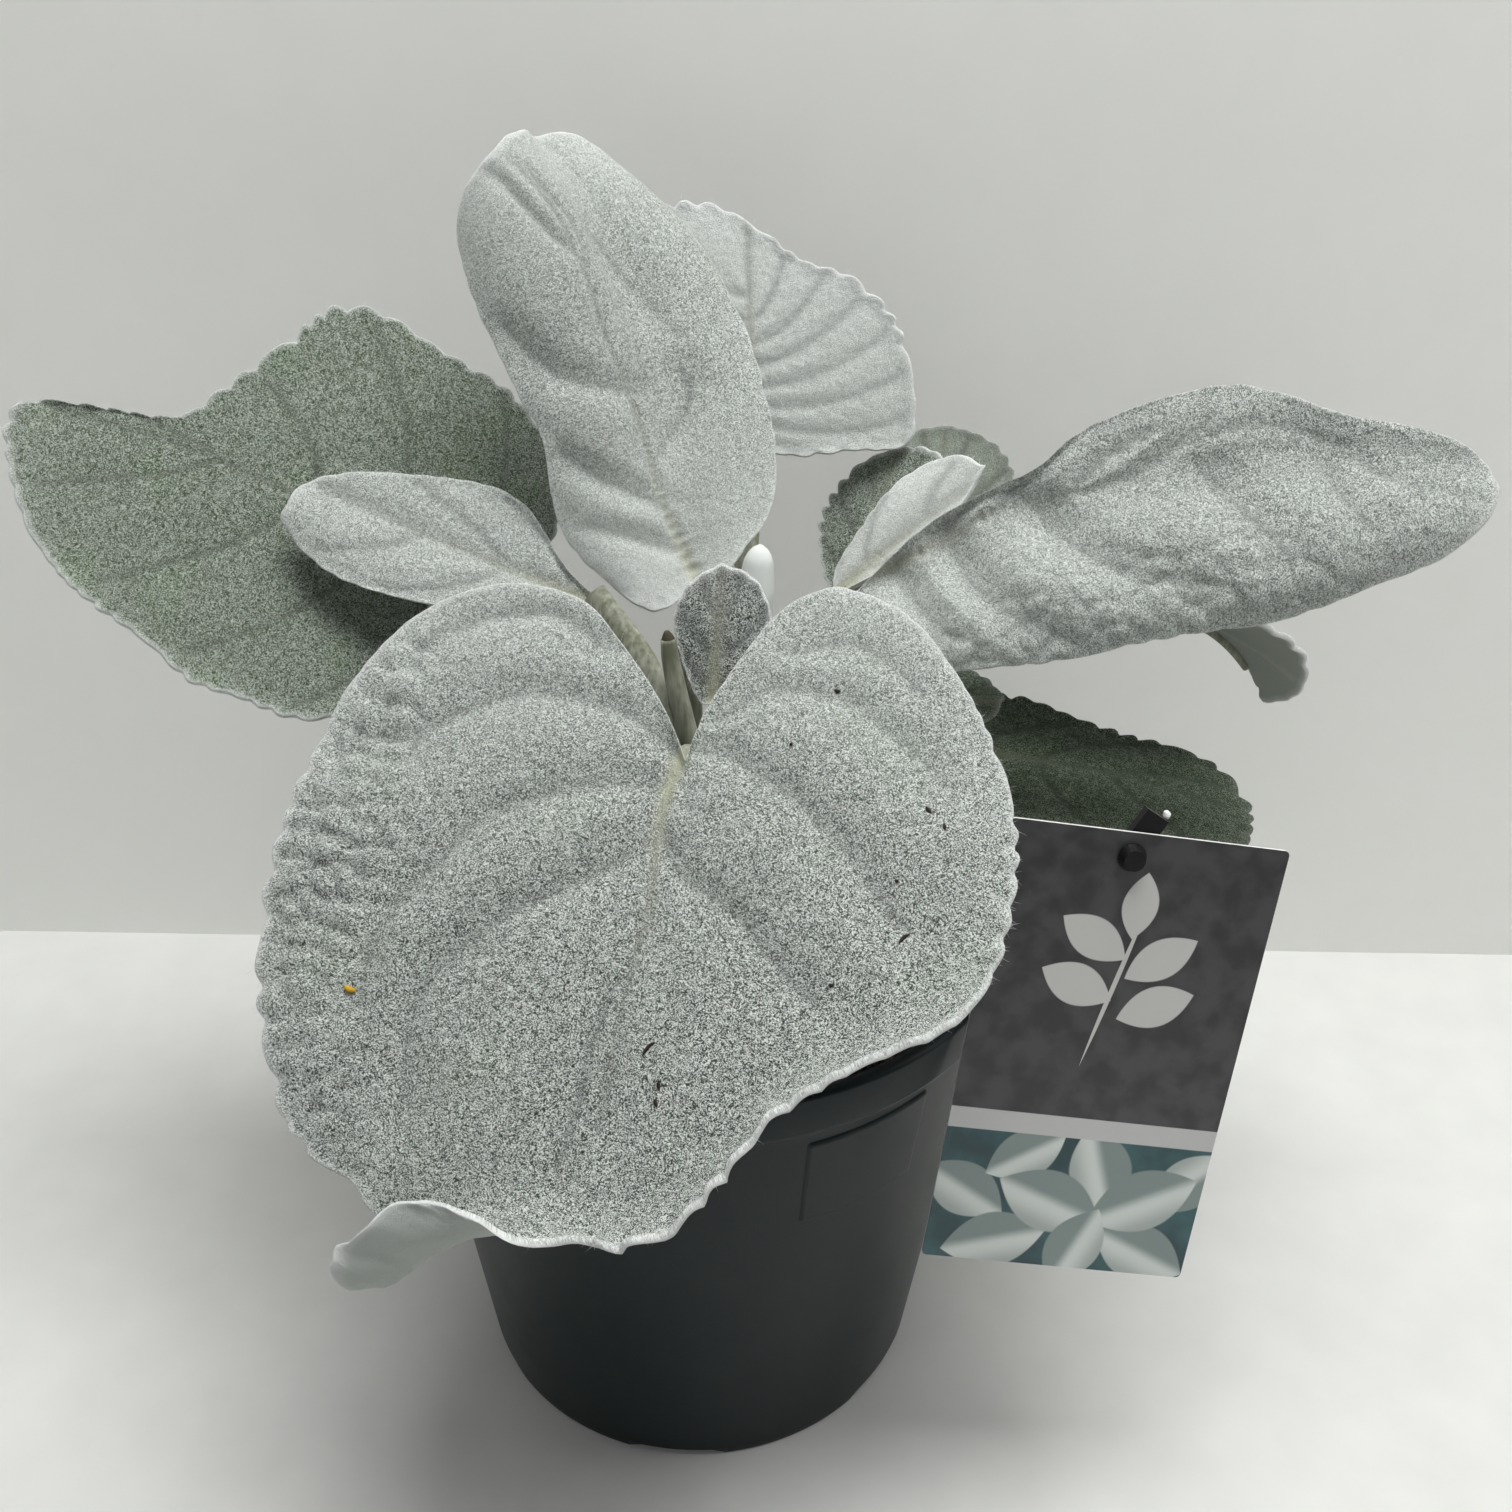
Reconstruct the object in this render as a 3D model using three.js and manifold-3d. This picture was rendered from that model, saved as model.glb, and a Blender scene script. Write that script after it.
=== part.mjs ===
// A silver-leaved senecio candicans in a round plastic nursery pot, with a hanging plant label.
// Millimetres, +Z up. The origin is the centre of the pot's flat base, +X is to the right and
// +Y points away from the viewer, so the big hanging leaf points to -Y.
import * as THREE from "three";
import { mergeVertices } from "three/addons/utils/BufferGeometryUtils.js";
import Module from "manifold-3d";

const wasm = await Module();
wasm.setup();

// Pot: a 140 mm nursery pot.
const POT_HEIGHT = 124.4;
const POT_RIM_RADIUS = 70;
const POT_BASE_RADIUS = 53.7;
const POT_WALL = 1.6;
const POT_FLOOR = 3.6;
const POT_SIDES = 72;
const RIM_BAND_HEIGHT = 10;
const RIM_STEP = 1.5;
const FOOT_NOTCHES = 6;
const FOOT_NOTCH_WIDTH = 22;
const FOOT_NOTCH_DEPTH = 13;
const FOOT_NOTCH_HEIGHT = 2.2;
const FOOT_NOTCH_PHASE = -94;
const DRAIN_HOLE_RADIUS = 4;
const DRAIN_HOLE_PITCH_RADIUS = 44;
const PAD_STEP = 0.8;
const PAD_LOW = 84;
const PAD_HIGH = 110;
const PAD_FROM = -70;
const PAD_TO = -44;

// Growing medium and stem.
const GAP = 0.3;
const SOIL_LEVEL = 110;
const SOIL_MOUND = 3;
const SOIL_ROUGHNESS = 0.8;
const STEM_RADIUS = 6;
const STEM_FOOT = 84;
const STEM_TOP = 150;

// Label card and its clip. The card's own x runs right along its top edge, y out of its back, z up.
const CARD_WIDTH = 55;
const CARD_HEIGHT = 95;
const CARD_THICKNESS = 0.8;
const CARD_CORNER = 1.2;
const CARD_TOP_LEFT = [60, -35, 167];
const CARD_YAW = 3.9;
const CARD_LEAN = -14.2;
const CARD_ROLL = -8.5;
const CARD_HOLE = [24.6, -4.9];
const CARD_HOLE_RADIUS = 2;
const CLIP_STUD_RADIUS = 1.6;
const CLIP_HEAD_RADIUS = 2.8;
const CLIP_HEAD_HEIGHT = 2;
const CLIP_WIDTH = 11;
const CLIP_THICKNESS = 2.4;
const CLIP_LEG = 15;
const CLIP_AZIMUTH = -21;
const CLIP_TIP = [28.6, 1.9, 3.4];

// Leaves.
// base: where the stalk meets the blade. length: along the midrib, base to tip.
// Angles are in degrees, as three values: at the base, the middle and the tip.
// azimuth: where the midrib heads, 0 towards the viewer, 90 to the right, 180 to the back.
// elevation: its climb. tilt: how far the blade is turned about its midrib.
// fold: the rise on both sides of the midrib. turn: how far the margins bend up, or back if
// negative. power: how late towards the margin that bend comes.
// tooth: depth of the margin's teeth, one to every two of its segments.
// right and left: the flat outline of each half, from the stalk round its lobe to the tip.
// curl: a margin rolled up about a line through a flat place, facing so many degrees right of the
// tip. Its rows are the distance along that line, where the roll starts past it, and its angle.
// stalk: places on the way from the stem to the base.
const BLADE_THICKNESS = 1.6;
const BLADE_CENTRE = 0.28;
const FOLD_SHARE = 0.15;
const BEND_STEPS = 12;
const SPINE_STEPS = 240;
const OUTLINE_STEPS = 1200;
const COARSE_RINGS = [0.93, 0.78, 0.58, 0.38, 0.18];
const FINE_RINGS = [0.955, 0.9, 0.84, 0.77, 0.68, 0.5, 0.3];
const STALK_SIDES = 6;
const RIDGE_SHARES = [0.06, 0.2, 0.38, 0.56, 0.74, 0.86];
const RIDGE_TIP_RADIUS = 0.8;
const LEAVES = [
  {
    name: "leaf_front", kind: "silver", base: [-1, -28, 174], length: 95, azimuth: [-4, -8, -12],
    elevation: [-36, -40, -46], tilt: [3, 3, 3], fold: [4, 4, 4], turn: [-8, -8, -8], power: 1.6,
    tooth: 1.2, segments: 128, rings: FINE_RINGS, right: [[3, -10], [9, -21], [16, -31], [24, -36],
    [31, -36], [42, -30], [51, -18], [57, -6], [61, 7], [62, 19], [61, 28], [59, 37], [55, 45], [50,
    51], [43, 55], [35, 60], [26, 66], [20, 76], [14, 85], [8, 89], [2, 92]], left: [[-6, -12],
    [-15, -25], [-23, -34], [-36, -38], [-48, -36], [-59, -29], [-68, -17], [-73, -4], [-76, 12],
    [-77, 28], [-76, 44], [-73, 58], [-66, 75], [-61, 80], [-56, 84], [-51, 86], [-45, 90], [-42,
    98], [-40, 107], [-34, 114], [-29, 117], [-24, 116], [-20, 112], [-17, 107], [-14, 101], [-12,
    95], [-9, 92], [-4, 90], [2, 92]], curl: { at: [-25, 80], facing: 24.6, radius: 9, rows: [[-100,
    -11, 0], [-94, -8, 20], [-87, -6, 50], [-72, -6, 65], [-63, -5, 70], [-51, -2, 70], [-40, 5,
    70], [-31, 10, 72], [-22, 10, 76], [-15, 8, 80], [-10, 6, 90], [-6, 4, 110], [-2, 2, 140], [2,
    1.5, 160], [6, 2, 165], [10, 3, 165], [18, 6, 165], [22, 5, 165], [30, 2, 165]] }, stalk: [[0,
    -8.2, 138], [-0.5, -14, 160], [-1, -22, 171]], stalkRadius: 2.6,
  },
  {
    name: "leaf_left_broad", kind: "green_grey", base: [-48, 24, 182], length: 105, azimuth: [-96,
    -94, -86], elevation: [34, 24, 10], tilt: [-36, -40, -46], fold: [0, 0, 0], turn: [0, 0, 0],
    power: 1.6, tooth: 1.2, segments: 112, right: [[3, -5], [20, -2], [34, 7], [43, 18], [45, 32],
    [46, 44], [42, 58], [39, 70], [35, 81], [27, 92], [17, 99], [6, 103], [0, 101]], left: [[-16,
    -6], [-32, -3], [-42, 7], [-47, 18], [-47, 27], [-47, 36], [-48, 43], [-47, 49], [-45, 53],
    [-41, 56], [-31, 59], [-22, 63], [-13, 67], [-6, 70], [-2, 76], [0, 86], [-1, 96], [0, 101]],
    stalk: [[-7.2, 3.8, 130], [-26, 13, 156], [-42, 21, 176]], stalkRadius: 2.6,
  },
  {
    name: "leaf_left_young", kind: "silver", base: [-18, 11, 187], length: 71, azimuth: [-92, -99,
    -104], elevation: [20, 20, 18], tilt: [-40, -40, -40], fold: [14, 14, 14], turn: [-40, -40,
    -40], power: 1.6, tooth: 0.3, segments: 48, right: [[3, 4], [7, 13], [12, 26], [15, 39], [16,
    52], [14, 61], [10, 68], [8, 69]], left: [[-1, 4], [-3, 9], [-6, 14], [-11, 20], [-15, 27],
    [-15, 35], [-11, 47], [-6, 59], [0, 67], [8, 69]], stalk: [[-7.2, 3.4, 146], [-10, 5, 160],
    [-14, 8, 178]], stalkRadius: 3.2,
  },
  {
    name: "leaf_upright", kind: "silver", base: [-2, 16, 189], length: 108, azimuth: [-166, -142,
    -92], elevation: [62, 57, 44], tilt: [0, 0, 0], fold: [32, 32, 32], turn: [-105, -105, -105],
    power: 1.4, tooth: 0.3, segments: 64, right: [[8, -4], [14, -1], [19, 4], [26, 13], [28, 22],
    [28, 35], [31, 44], [34, 56], [37, 72], [37, 86], [35, 94], [27, 99], [14, 101]], left: [[-7,
    2], [-13, 8], [-18, 13], [-21, 19], [-23, 29], [-23, 37], [-24, 49], [-24, 60], [-26, 70], [-26,
    79], [-22, 87], [-15, 93], [-7, 97], [14, 101]], stalk: [[-1.2, 8, 146], [-2, 10, 160], [-2.5,
    14, 180]], stalkRadius: 2.6,
  },
  {
    name: "leaf_right_long", kind: "silver", base: [31, 8, 191], length: 136, azimuth: [84, 90, 94],
    elevation: [32, 14, -14], tilt: [44, 44, 44], fold: [26, 26, 26], turn: [-95, -95, -95], power:
    1.6, tooth: 0.3, segments: 64, right: [[3, 7], [7, 19], [9, 32], [10, 43], [14, 52], [16, 62],
    [17, 71], [17, 81], [14, 89], [9, 100], [7, 111], [5, 121], [1, 128], [-5, 130]], left: [[-17,
    6], [-23, 13], [-27, 25], [-30, 37], [-31, 51], [-32, 65], [-33, 79], [-31, 92], [-26, 105],
    [-21, 117], [-13, 126], [-5, 130]], stalk: [[8, 1.4, 143], [17, 5, 162], [26, 7, 180]],
    stalkRadius: 2.6,
  },
  {
    name: "leaf_back", kind: "silver", base: [10, 62, 205], length: 70, azimuth: [-175, -175, -175],
    elevation: [70, 62, 50], tilt: [0, 0, 0], fold: [0, 0, 0], turn: [0, 0, 0], power: 1.6, tooth:
    1, segments: 80, right: [[12, -1], [23, 3], [34, 12], [36, 26], [32, 37], [26, 45], [20, 52],
    [13, 54]], left: [[-9, -3], [-23, -2], [-36, -1], [-38, 9], [-36, 20], [-32, 29], [-23, 37],
    [-12, 41], [-1, 49], [7, 53], [13, 54]], stalk: [[1.6, 8, 133], [7, 30, 160], [10, 54, 194]],
    stalkRadius: 2.6,
  },
  {
    name: "leaf_right_back", kind: "green_grey", base: [34, 50, 172], length: 44, azimuth: [150,
    150, 150], elevation: [60, 55, 45], tilt: [0, 0, 0], fold: [0, 0, 0], turn: [0, 0, 0], power:
    1.6, tooth: 1, segments: 48, right: [[6, 1], [11, 9], [13, 17], [11, 25], [7, 32], [0, 37]],
    left: [[-7, 1], [-18, 6], [-21, 16], [-19, 28], [-12, 36], [-7, 38], [0, 37]], stalk: [[4.1, 7,
    127], [16, 24, 146], [30, 45, 166]], stalkRadius: 2.6,
  },
  {
    name: "leaf_right_far", kind: "green", base: [56, 84, 166], length: 60, azimuth: [170, 170,
    170], elevation: [60, 55, 45], tilt: [0, 0, 0], fold: [0, 0, 0], turn: [0, 0, 0], power: 1.6,
    tooth: 1, segments: 48, right: [[8, 3], [12, 16], [12, 26], [9, 33], [0, 36]], left: [[-7, 2],
    [-17, 10], [-19, 21], [-16, 29], [-9, 34], [0, 36]], stalk: [[4.7, 6.7, 119], [28, 38, 132],
    [50, 75, 156]], stalkRadius: 2.6,
  },
  {
    name: "leaf_right_slim", kind: "silver", base: [28, 16, 188], length: 48, azimuth: [110, 105,
    100], elevation: [40, 36, 30], tilt: [40, 40, 40], fold: [14, 14, 14], turn: [-40, -40, -40],
    power: 1.6, tooth: 0.3, segments: 40, right: [[4, 4], [7, 13], [10, 23], [10, 31], [7, 38], [3,
    40], [2, 41]], left: [[-2, 6], [-4, 15], [-4, 26], [-2, 34], [2, 41]], stalk: [[6.2, 5.2, 148],
    [14, 9, 164], [24, 14, 182]], stalkRadius: 2,
  },
  {
    name: "leaf_right_low", kind: "green", base: [42, 22, 150], length: 80, azimuth: [78, 84, 90],
    elevation: [2, -8, -22], tilt: [10, 10, 10], fold: [0, 0, 0], turn: [0, 0, 0], power: 1.6,
    tooth: 1, segments: 80, right: [[8, -6], [16, 8], [19, 21], [20, 31], [16, 44], [14, 56], [15,
    68], [12, 79], [3, 84], [-7, 83]], left: [[-20, 5], [-33, 19], [-39, 34], [-37, 52], [-28, 67],
    [-17, 78], [-7, 83]], stalk: [[7.8, 2.1, 120], [22, 11, 134], [36, 19, 146]], stalkRadius: 2.6,
  },
  {
    name: "leaf_right_hanging", kind: "green_grey", base: [60, 33.5, 179], length: 88, azimuth: [95,
    98, 104], elevation: [15, -19, -71], tilt: [0, 0, 0], fold: [10, 20, 40], turn: [0, 0, 0],
    power: 1.6, tooth: 1, segments: 64, right: [[5, -4], [13, -3], [20, 11], [23, 32], [22, 53],
    [17, 71], [9, 84], [0, 88]], left: [[-5, -4], [-10, -3], [-14, 11], [-18, 32], [-20, 53], [-17,
    71], [-9, 84], [0, 88]], stalk: [[6.6, 4.6, 134], [26, 17, 155], [48, 28, 173]], stalkRadius:
    2.6,
  },
  {
    name: "leaf_right_small", kind: "green", base: [38, 6, 169], length: 26, azimuth: [85, 85, 85],
    elevation: [8, 2, -4], tilt: [0, 0, 0], fold: [0, 0, 0], turn: [0, 0, 0], power: 1.6, tooth:
    0.4, segments: 32, right: [[4, -3], [10, -2], [15, 5], [15, 14], [10, 22], [2, 26]], left: [[-4,
    -3], [-10, -2], [-14, 5], [-13, 15], [-7, 23], [2, 26]], stalk: [[8, -1.4, 127], [20, 3, 147],
    [33, 6, 164]], stalkRadius: 1.8,
  },
  {
    name: "leaf_centre_small", kind: "silver", base: [3, -3, 172], length: 30, azimuth: [160, 170,
    180], elevation: [75, 70, 62], tilt: [0, 0, 0], fold: [10, 10, 10], turn: [0, 0, 0], power: 1.6,
    tooth: 0.4, segments: 40, right: [[3, 1], [7, 9], [9, 18], [6, 25], [0, 29]], left: [[-5, 4],
    [-10, 13], [-11, 19], [-7, 26], [0, 29]], stalk: [[1.5, -2, 152.5], [2, -2.6, 160]],
    stalkRadius: 1.8,
  },
];

const SHOOT = {
  name: "shoot_tip",
  points: [[3.2, 3.4, 153], [7, 9, 166], [10, 13, 178], [11.5, 15.5, 189], [12.6, 17.4, 198]],
  radii: [2, 2.6, 4.4, 4.2, 2.6],
};

const PALETTE = {
  silver: { color: 0xc4cbc6, roughness: 0.9, metalness: 0 },
  green_grey: { color: 0x7f9180, roughness: 0.88, metalness: 0 },
  green: { color: 0x53684d, roughness: 0.85, metalness: 0 },
  stem: { color: 0x8f9a74, roughness: 0.8, metalness: 0 },
  pot: { color: 0x182226, roughness: 0.42, metalness: 0 },
  soil: { color: 0x2c231b, roughness: 1, metalness: 0 },
  card: { color: 0x5a5d60, roughness: 0.45, metalness: 0 },
  clip: { color: 0x0c0c0d, roughness: 0.4, metalness: 0 },
};

const root = new THREE.Group();
root.name = "potted_senecio";

const radians = THREE.MathUtils.degToRad;

function smooth(value) {
  const t = Math.min(1, Math.max(0, value));
  return t * t * (3 - 2 * t);
}

// The value at share s of a leaf's length, through the three values at 0, 0.5 and 1.
function three(values, s) {
  const t = Math.min(1, Math.max(-0.6, s));
  const [a, b, c] = values;
  return a + (4 * b - 3 * a - c) * t + (2 * a - 4 * b + 2 * c) * t * t;
}

function between(table, column, at) {
  if (at <= table[0][0]) return table[0][column];
  for (let i = 1; i < table.length; i++) {
    if (at <= table[i][0]) {
      const t = (at - table[i - 1][0]) / (table[i][0] - table[i - 1][0]);
      return table[i - 1][column] + t * (table[i][column] - table[i - 1][column]);
    }
  }
  return table[table.length - 1][column];
}

// Solids.
function solidOf(geometry) {
  const bare = geometry.clone();
  bare.deleteAttribute("normal");
  bare.deleteAttribute("uv");
  const merged = mergeVertices(bare, 1e-4);
  return new wasm.Manifold(new wasm.Mesh({
    numProp: 3,
    vertProperties: new Float32Array(merged.attributes.position.array),
    triVerts: new Uint32Array(merged.index.array),
  }));
}

function geometryOf(solid) {
  const mesh = solid.getMesh();
  const geometry = new THREE.BufferGeometry();
  geometry.setAttribute("position", new THREE.BufferAttribute(new Float32Array(mesh.vertProperties), 3));
  geometry.setIndex(new THREE.BufferAttribute(new Uint32Array(mesh.triVerts), 1));
  geometry.computeVertexNormals();
  return geometry;
}

function closedGeometry(points, triangles) {
  const geometry = new THREE.BufferGeometry();
  geometry.setAttribute("position", new THREE.Float32BufferAttribute(points.flat(), 3));
  geometry.setIndex(triangles.flat());
  return geometry;
}

function addMesh(name, geometry, finish) {
  geometry.computeVertexNormals();
  const mesh = new THREE.Mesh(geometry, new THREE.MeshStandardMaterial(PALETTE[finish]));
  mesh.name = name;
  root.add(mesh);
  return mesh;
}

// A turned profile given as [radius, height] pairs, standing on +Z.
function turned(profile, sides) {
  const lathe = new THREE.LatheGeometry(profile.map(([r, z]) => new THREE.Vector2(r, z)), sides);
  return lathe.rotateX(Math.PI / 2);
}

// Pot: tapered wall, rim band, flat base with notches and drainage holes, and a label pad.
function potRadiusAt(z) {
  return POT_BASE_RADIUS + ((POT_RIM_RADIUS - RIM_STEP - POT_BASE_RADIUS) * z) / POT_HEIGHT;
}

function buildPot() {
  const shoulder = POT_HEIGHT - RIM_BAND_HEIGHT;
  const profile = [
    [0, 0],
    [POT_BASE_RADIUS - 1, 0],
    [POT_BASE_RADIUS, 1],
    [potRadiusAt(shoulder - 1.5), shoulder - 1.5],
    [POT_RIM_RADIUS - 0.4, shoulder],
    [POT_RIM_RADIUS, shoulder + 1],
    [POT_RIM_RADIUS, POT_HEIGHT - 0.8],
    [POT_RIM_RADIUS - 0.8, POT_HEIGHT],
    [POT_RIM_RADIUS - 2.4, POT_HEIGHT],
    [potRadiusAt(POT_HEIGHT) - POT_WALL - 1, POT_HEIGHT - 1.5],
    [potRadiusAt(POT_FLOOR) - POT_WALL, POT_FLOOR],
    [0, POT_FLOOR],
  ];
  let pot = solidOf(turned(profile, POT_SIDES));
  for (let i = 0; i < FOOT_NOTCHES; i++) {
    const angle = radians(FOOT_NOTCH_PHASE + (360 * i) / FOOT_NOTCHES);
    const notch = new THREE.BoxGeometry(FOOT_NOTCH_DEPTH * 2, FOOT_NOTCH_WIDTH, FOOT_NOTCH_HEIGHT * 2);
    notch.translate(POT_BASE_RADIUS, 0, 0).rotateZ(angle);
    pot = pot.subtract(solidOf(notch));
    const hole = new THREE.CylinderGeometry(DRAIN_HOLE_RADIUS, DRAIN_HOLE_RADIUS, 30, 16);
    hole.rotateX(Math.PI / 2).translate(DRAIN_HOLE_PITCH_RADIUS, 0, 0).rotateZ(angle);
    pot = pot.subtract(solidOf(hole));
  }
  return pot.add(labelPad());
}

// A low raised pad on the wall under the rim: a slice of a ring just prouder than the wall.
function labelPad() {
  const ring = solidOf(turned([
    [potRadiusAt(PAD_LOW) - 0.8, PAD_LOW],
    [potRadiusAt(PAD_LOW) + PAD_STEP, PAD_LOW],
    [potRadiusAt(PAD_HIGH) + PAD_STEP, PAD_HIGH],
    [potRadiusAt(PAD_HIGH) - 0.8, PAD_HIGH],
    [potRadiusAt(PAD_LOW) - 0.8, PAD_LOW],
  ], POT_SIDES));
  const slice = new THREE.Shape();
  const reach = 120;
  slice.moveTo(0, 0);
  slice.lineTo(reach * Math.cos(radians(PAD_FROM)), reach * Math.sin(radians(PAD_FROM)));
  slice.lineTo(reach * Math.cos(radians(PAD_TO)), reach * Math.sin(radians(PAD_TO)));
  const wedge = new THREE.ExtrudeGeometry(slice, { depth: POT_HEIGHT, bevelEnabled: false });
  return ring.intersect(solidOf(wedge));
}

// Growing medium: fills the pot to a lumpy, slightly mounded top, with a plain hole for the stem.
function soilTopAt(x, y) {
  const r = Math.hypot(x, y);
  const lumps = Math.sin(x * 0.43 + 1.3) * Math.cos(y * 0.37) + Math.sin(x * 0.19 - y * 0.31 + 2);
  return SOIL_LEVEL + SOIL_MOUND * (1 - (r / 64) ** 2) + SOIL_ROUGHNESS * lumps;
}

function buildSoil() {
  const rings = 9;
  const sides = 48;
  const wallAt = (z) => {
    const top = potRadiusAt(POT_HEIGHT) - POT_WALL - 1;
    const low = potRadiusAt(POT_FLOOR) - POT_WALL;
    return low + ((top - low) * (z - POT_FLOOR)) / (POT_HEIGHT - 1.5 - POT_FLOOR);
  };
  const clearance = GAP + 0.25;
  const points = [[0, 0, soilTopAt(0, 0)]];
  const triangles = [];
  const edge = wallAt(SOIL_LEVEL - 4) - clearance;
  for (let ring = 1; ring <= rings; ring++) {
    for (let side = 0; side < sides; side++) {
      const angle = (2 * Math.PI * side) / sides;
      const r = (edge * ring) / rings;
      const x = r * Math.cos(angle);
      const y = r * Math.sin(angle);
      const fade = ring === rings ? SOIL_LEVEL - 2 : soilTopAt(x, y);
      points.push([x, y, fade]);
    }
  }
  const at = (ring, side) => 1 + (ring - 1) * sides + (side % sides);
  for (let side = 0; side < sides; side++) {
    triangles.push([0, at(1, side), at(1, side + 1)]);
    for (let ring = 1; ring < rings; ring++) {
      triangles.push([at(ring, side), at(ring + 1, side), at(ring + 1, side + 1)]);
      triangles.push([at(ring, side), at(ring + 1, side + 1), at(ring, side + 1)]);
    }
  }
  const footZ = POT_FLOOR + GAP;
  const footRadius = wallAt(footZ) - clearance;
  const foot = points.length;
  for (let side = 0; side < sides; side++) {
    const angle = (2 * Math.PI * side) / sides;
    points.push([footRadius * Math.cos(angle), footRadius * Math.sin(angle), footZ]);
  }
  points.push([0, 0, footZ]);
  const centre = points.length - 1;
  for (let side = 0; side < sides; side++) {
    const next = (side + 1) % sides;
    triangles.push([at(rings, side), foot + side, foot + next]);
    triangles.push([at(rings, side), foot + next, at(rings, side + 1)]);
    triangles.push([centre, foot + next, foot + side]);
  }
  const hole = new THREE.CylinderGeometry(STEM_RADIUS + GAP, STEM_RADIUS + GAP, 60, 20);
  hole.rotateX(Math.PI / 2).translate(0, 0, STEM_FOOT - GAP + 30);
  return solidOf(closedGeometry(points, triangles)).subtract(solidOf(hole));
}

// Stem: short and thick, with a slight waist, ending in a domed top among the young leaves.
function buildStem() {
  const profile = [
    [0, STEM_FOOT],
    [STEM_RADIUS - 1, STEM_FOOT],
    [STEM_RADIUS, STEM_FOOT + 1.5],
    [STEM_RADIUS, SOIL_LEVEL + 8],
    [STEM_RADIUS - 0.5, STEM_TOP - 18],
    [STEM_RADIUS - 0.3, STEM_TOP - 5],
    [STEM_RADIUS - 2, STEM_TOP - 1.2],
    [STEM_RADIUS - 4, STEM_TOP],
    [0, STEM_TOP],
  ];
  return solidOf(turned(profile, 20));
}

// The frame of a leaf at share s of its length: T along the midrib, S to its right, N upward.
function leafFrame(leaf, s) {
  const a = radians(three(leaf.azimuth, s));
  const e = radians(three(leaf.elevation, s));
  const t = radians(three(leaf.tilt, s));
  const T = new THREE.Vector3(Math.sin(a) * Math.cos(e), -Math.cos(a) * Math.cos(e), Math.sin(e));
  const flatSide = new THREE.Vector3(Math.cos(a), Math.sin(a), 0);
  const flatUp = new THREE.Vector3().crossVectors(T, flatSide);
  const S = flatSide.clone().multiplyScalar(Math.cos(t)).addScaledVector(flatUp, Math.sin(t));
  const N = flatUp.clone().multiplyScalar(Math.cos(t)).addScaledVector(flatSide, -Math.sin(t));
  return { T, S, N };
}

// The midrib as a table of places from share -0.9 to 1.1, with share 0 at the base.
function spineOf(leaf) {
  const from = -0.9;
  const step = 2 / (SPINE_STEPS - 1);
  const places = [new THREE.Vector3()];
  for (let i = 1; i < SPINE_STEPS; i++) {
    const before = leafFrame(leaf, from + step * (i - 1)).T;
    const after = leafFrame(leaf, from + step * i).T;
    const move = before.add(after).multiplyScalar((step * leaf.length) / 2);
    places.push(places[i - 1].clone().add(move));
  }
  const at = (s) => {
    const k = Math.min(SPINE_STEPS - 1.0001, Math.max(0, (s - from) / step));
    const i = Math.floor(k);
    return places[i].clone().lerp(places[i + 1], k - i);
  };
  const shift = new THREE.Vector3(...leaf.base).sub(at(0));
  return (s) => at(s).add(shift);
}

// One half of the outline as a smooth curve through its points, by share of its own length.
function outlineOf(points) {
  const p = [[0, 0], ...points];
  const mirrored = (a, b) => [2 * a[0] - b[0], 2 * a[1] - b[1]];
  const all = [mirrored(p[0], p[1]), ...p, mirrored(p[p.length - 1], p[p.length - 2])];
  const spans = all.length - 3;
  const dense = [];
  for (let k = 0; k < OUTLINE_STEPS; k++) {
    const t = (spans * k) / (OUTLINE_STEPS - 1);
    const i = Math.min(spans - 1, Math.floor(t));
    const f = t - i;
    const place = [0, 1].map((axis) => {
      const [a, b, c, d] = [all[i][axis], all[i + 1][axis], all[i + 2][axis], all[i + 3][axis]];
      return 0.5 * (2 * b + (c - a) * f + (2 * a - 5 * b + 4 * c - d) * f * f
        + (3 * b - a - 3 * c + d) * f ** 3);
    });
    dense.push(place);
  }
  const run = [0];
  for (let k = 1; k < dense.length; k++) {
    run.push(run[k - 1] + Math.hypot(dense[k][0] - dense[k - 1][0], dense[k][1] - dense[k - 1][1]));
  }
  const table = dense.map(([x, y], k) => [run[k] / run[run.length - 1], x, y]);
  return (share) => [between(table, 1, share), between(table, 2, share)];
}

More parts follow.
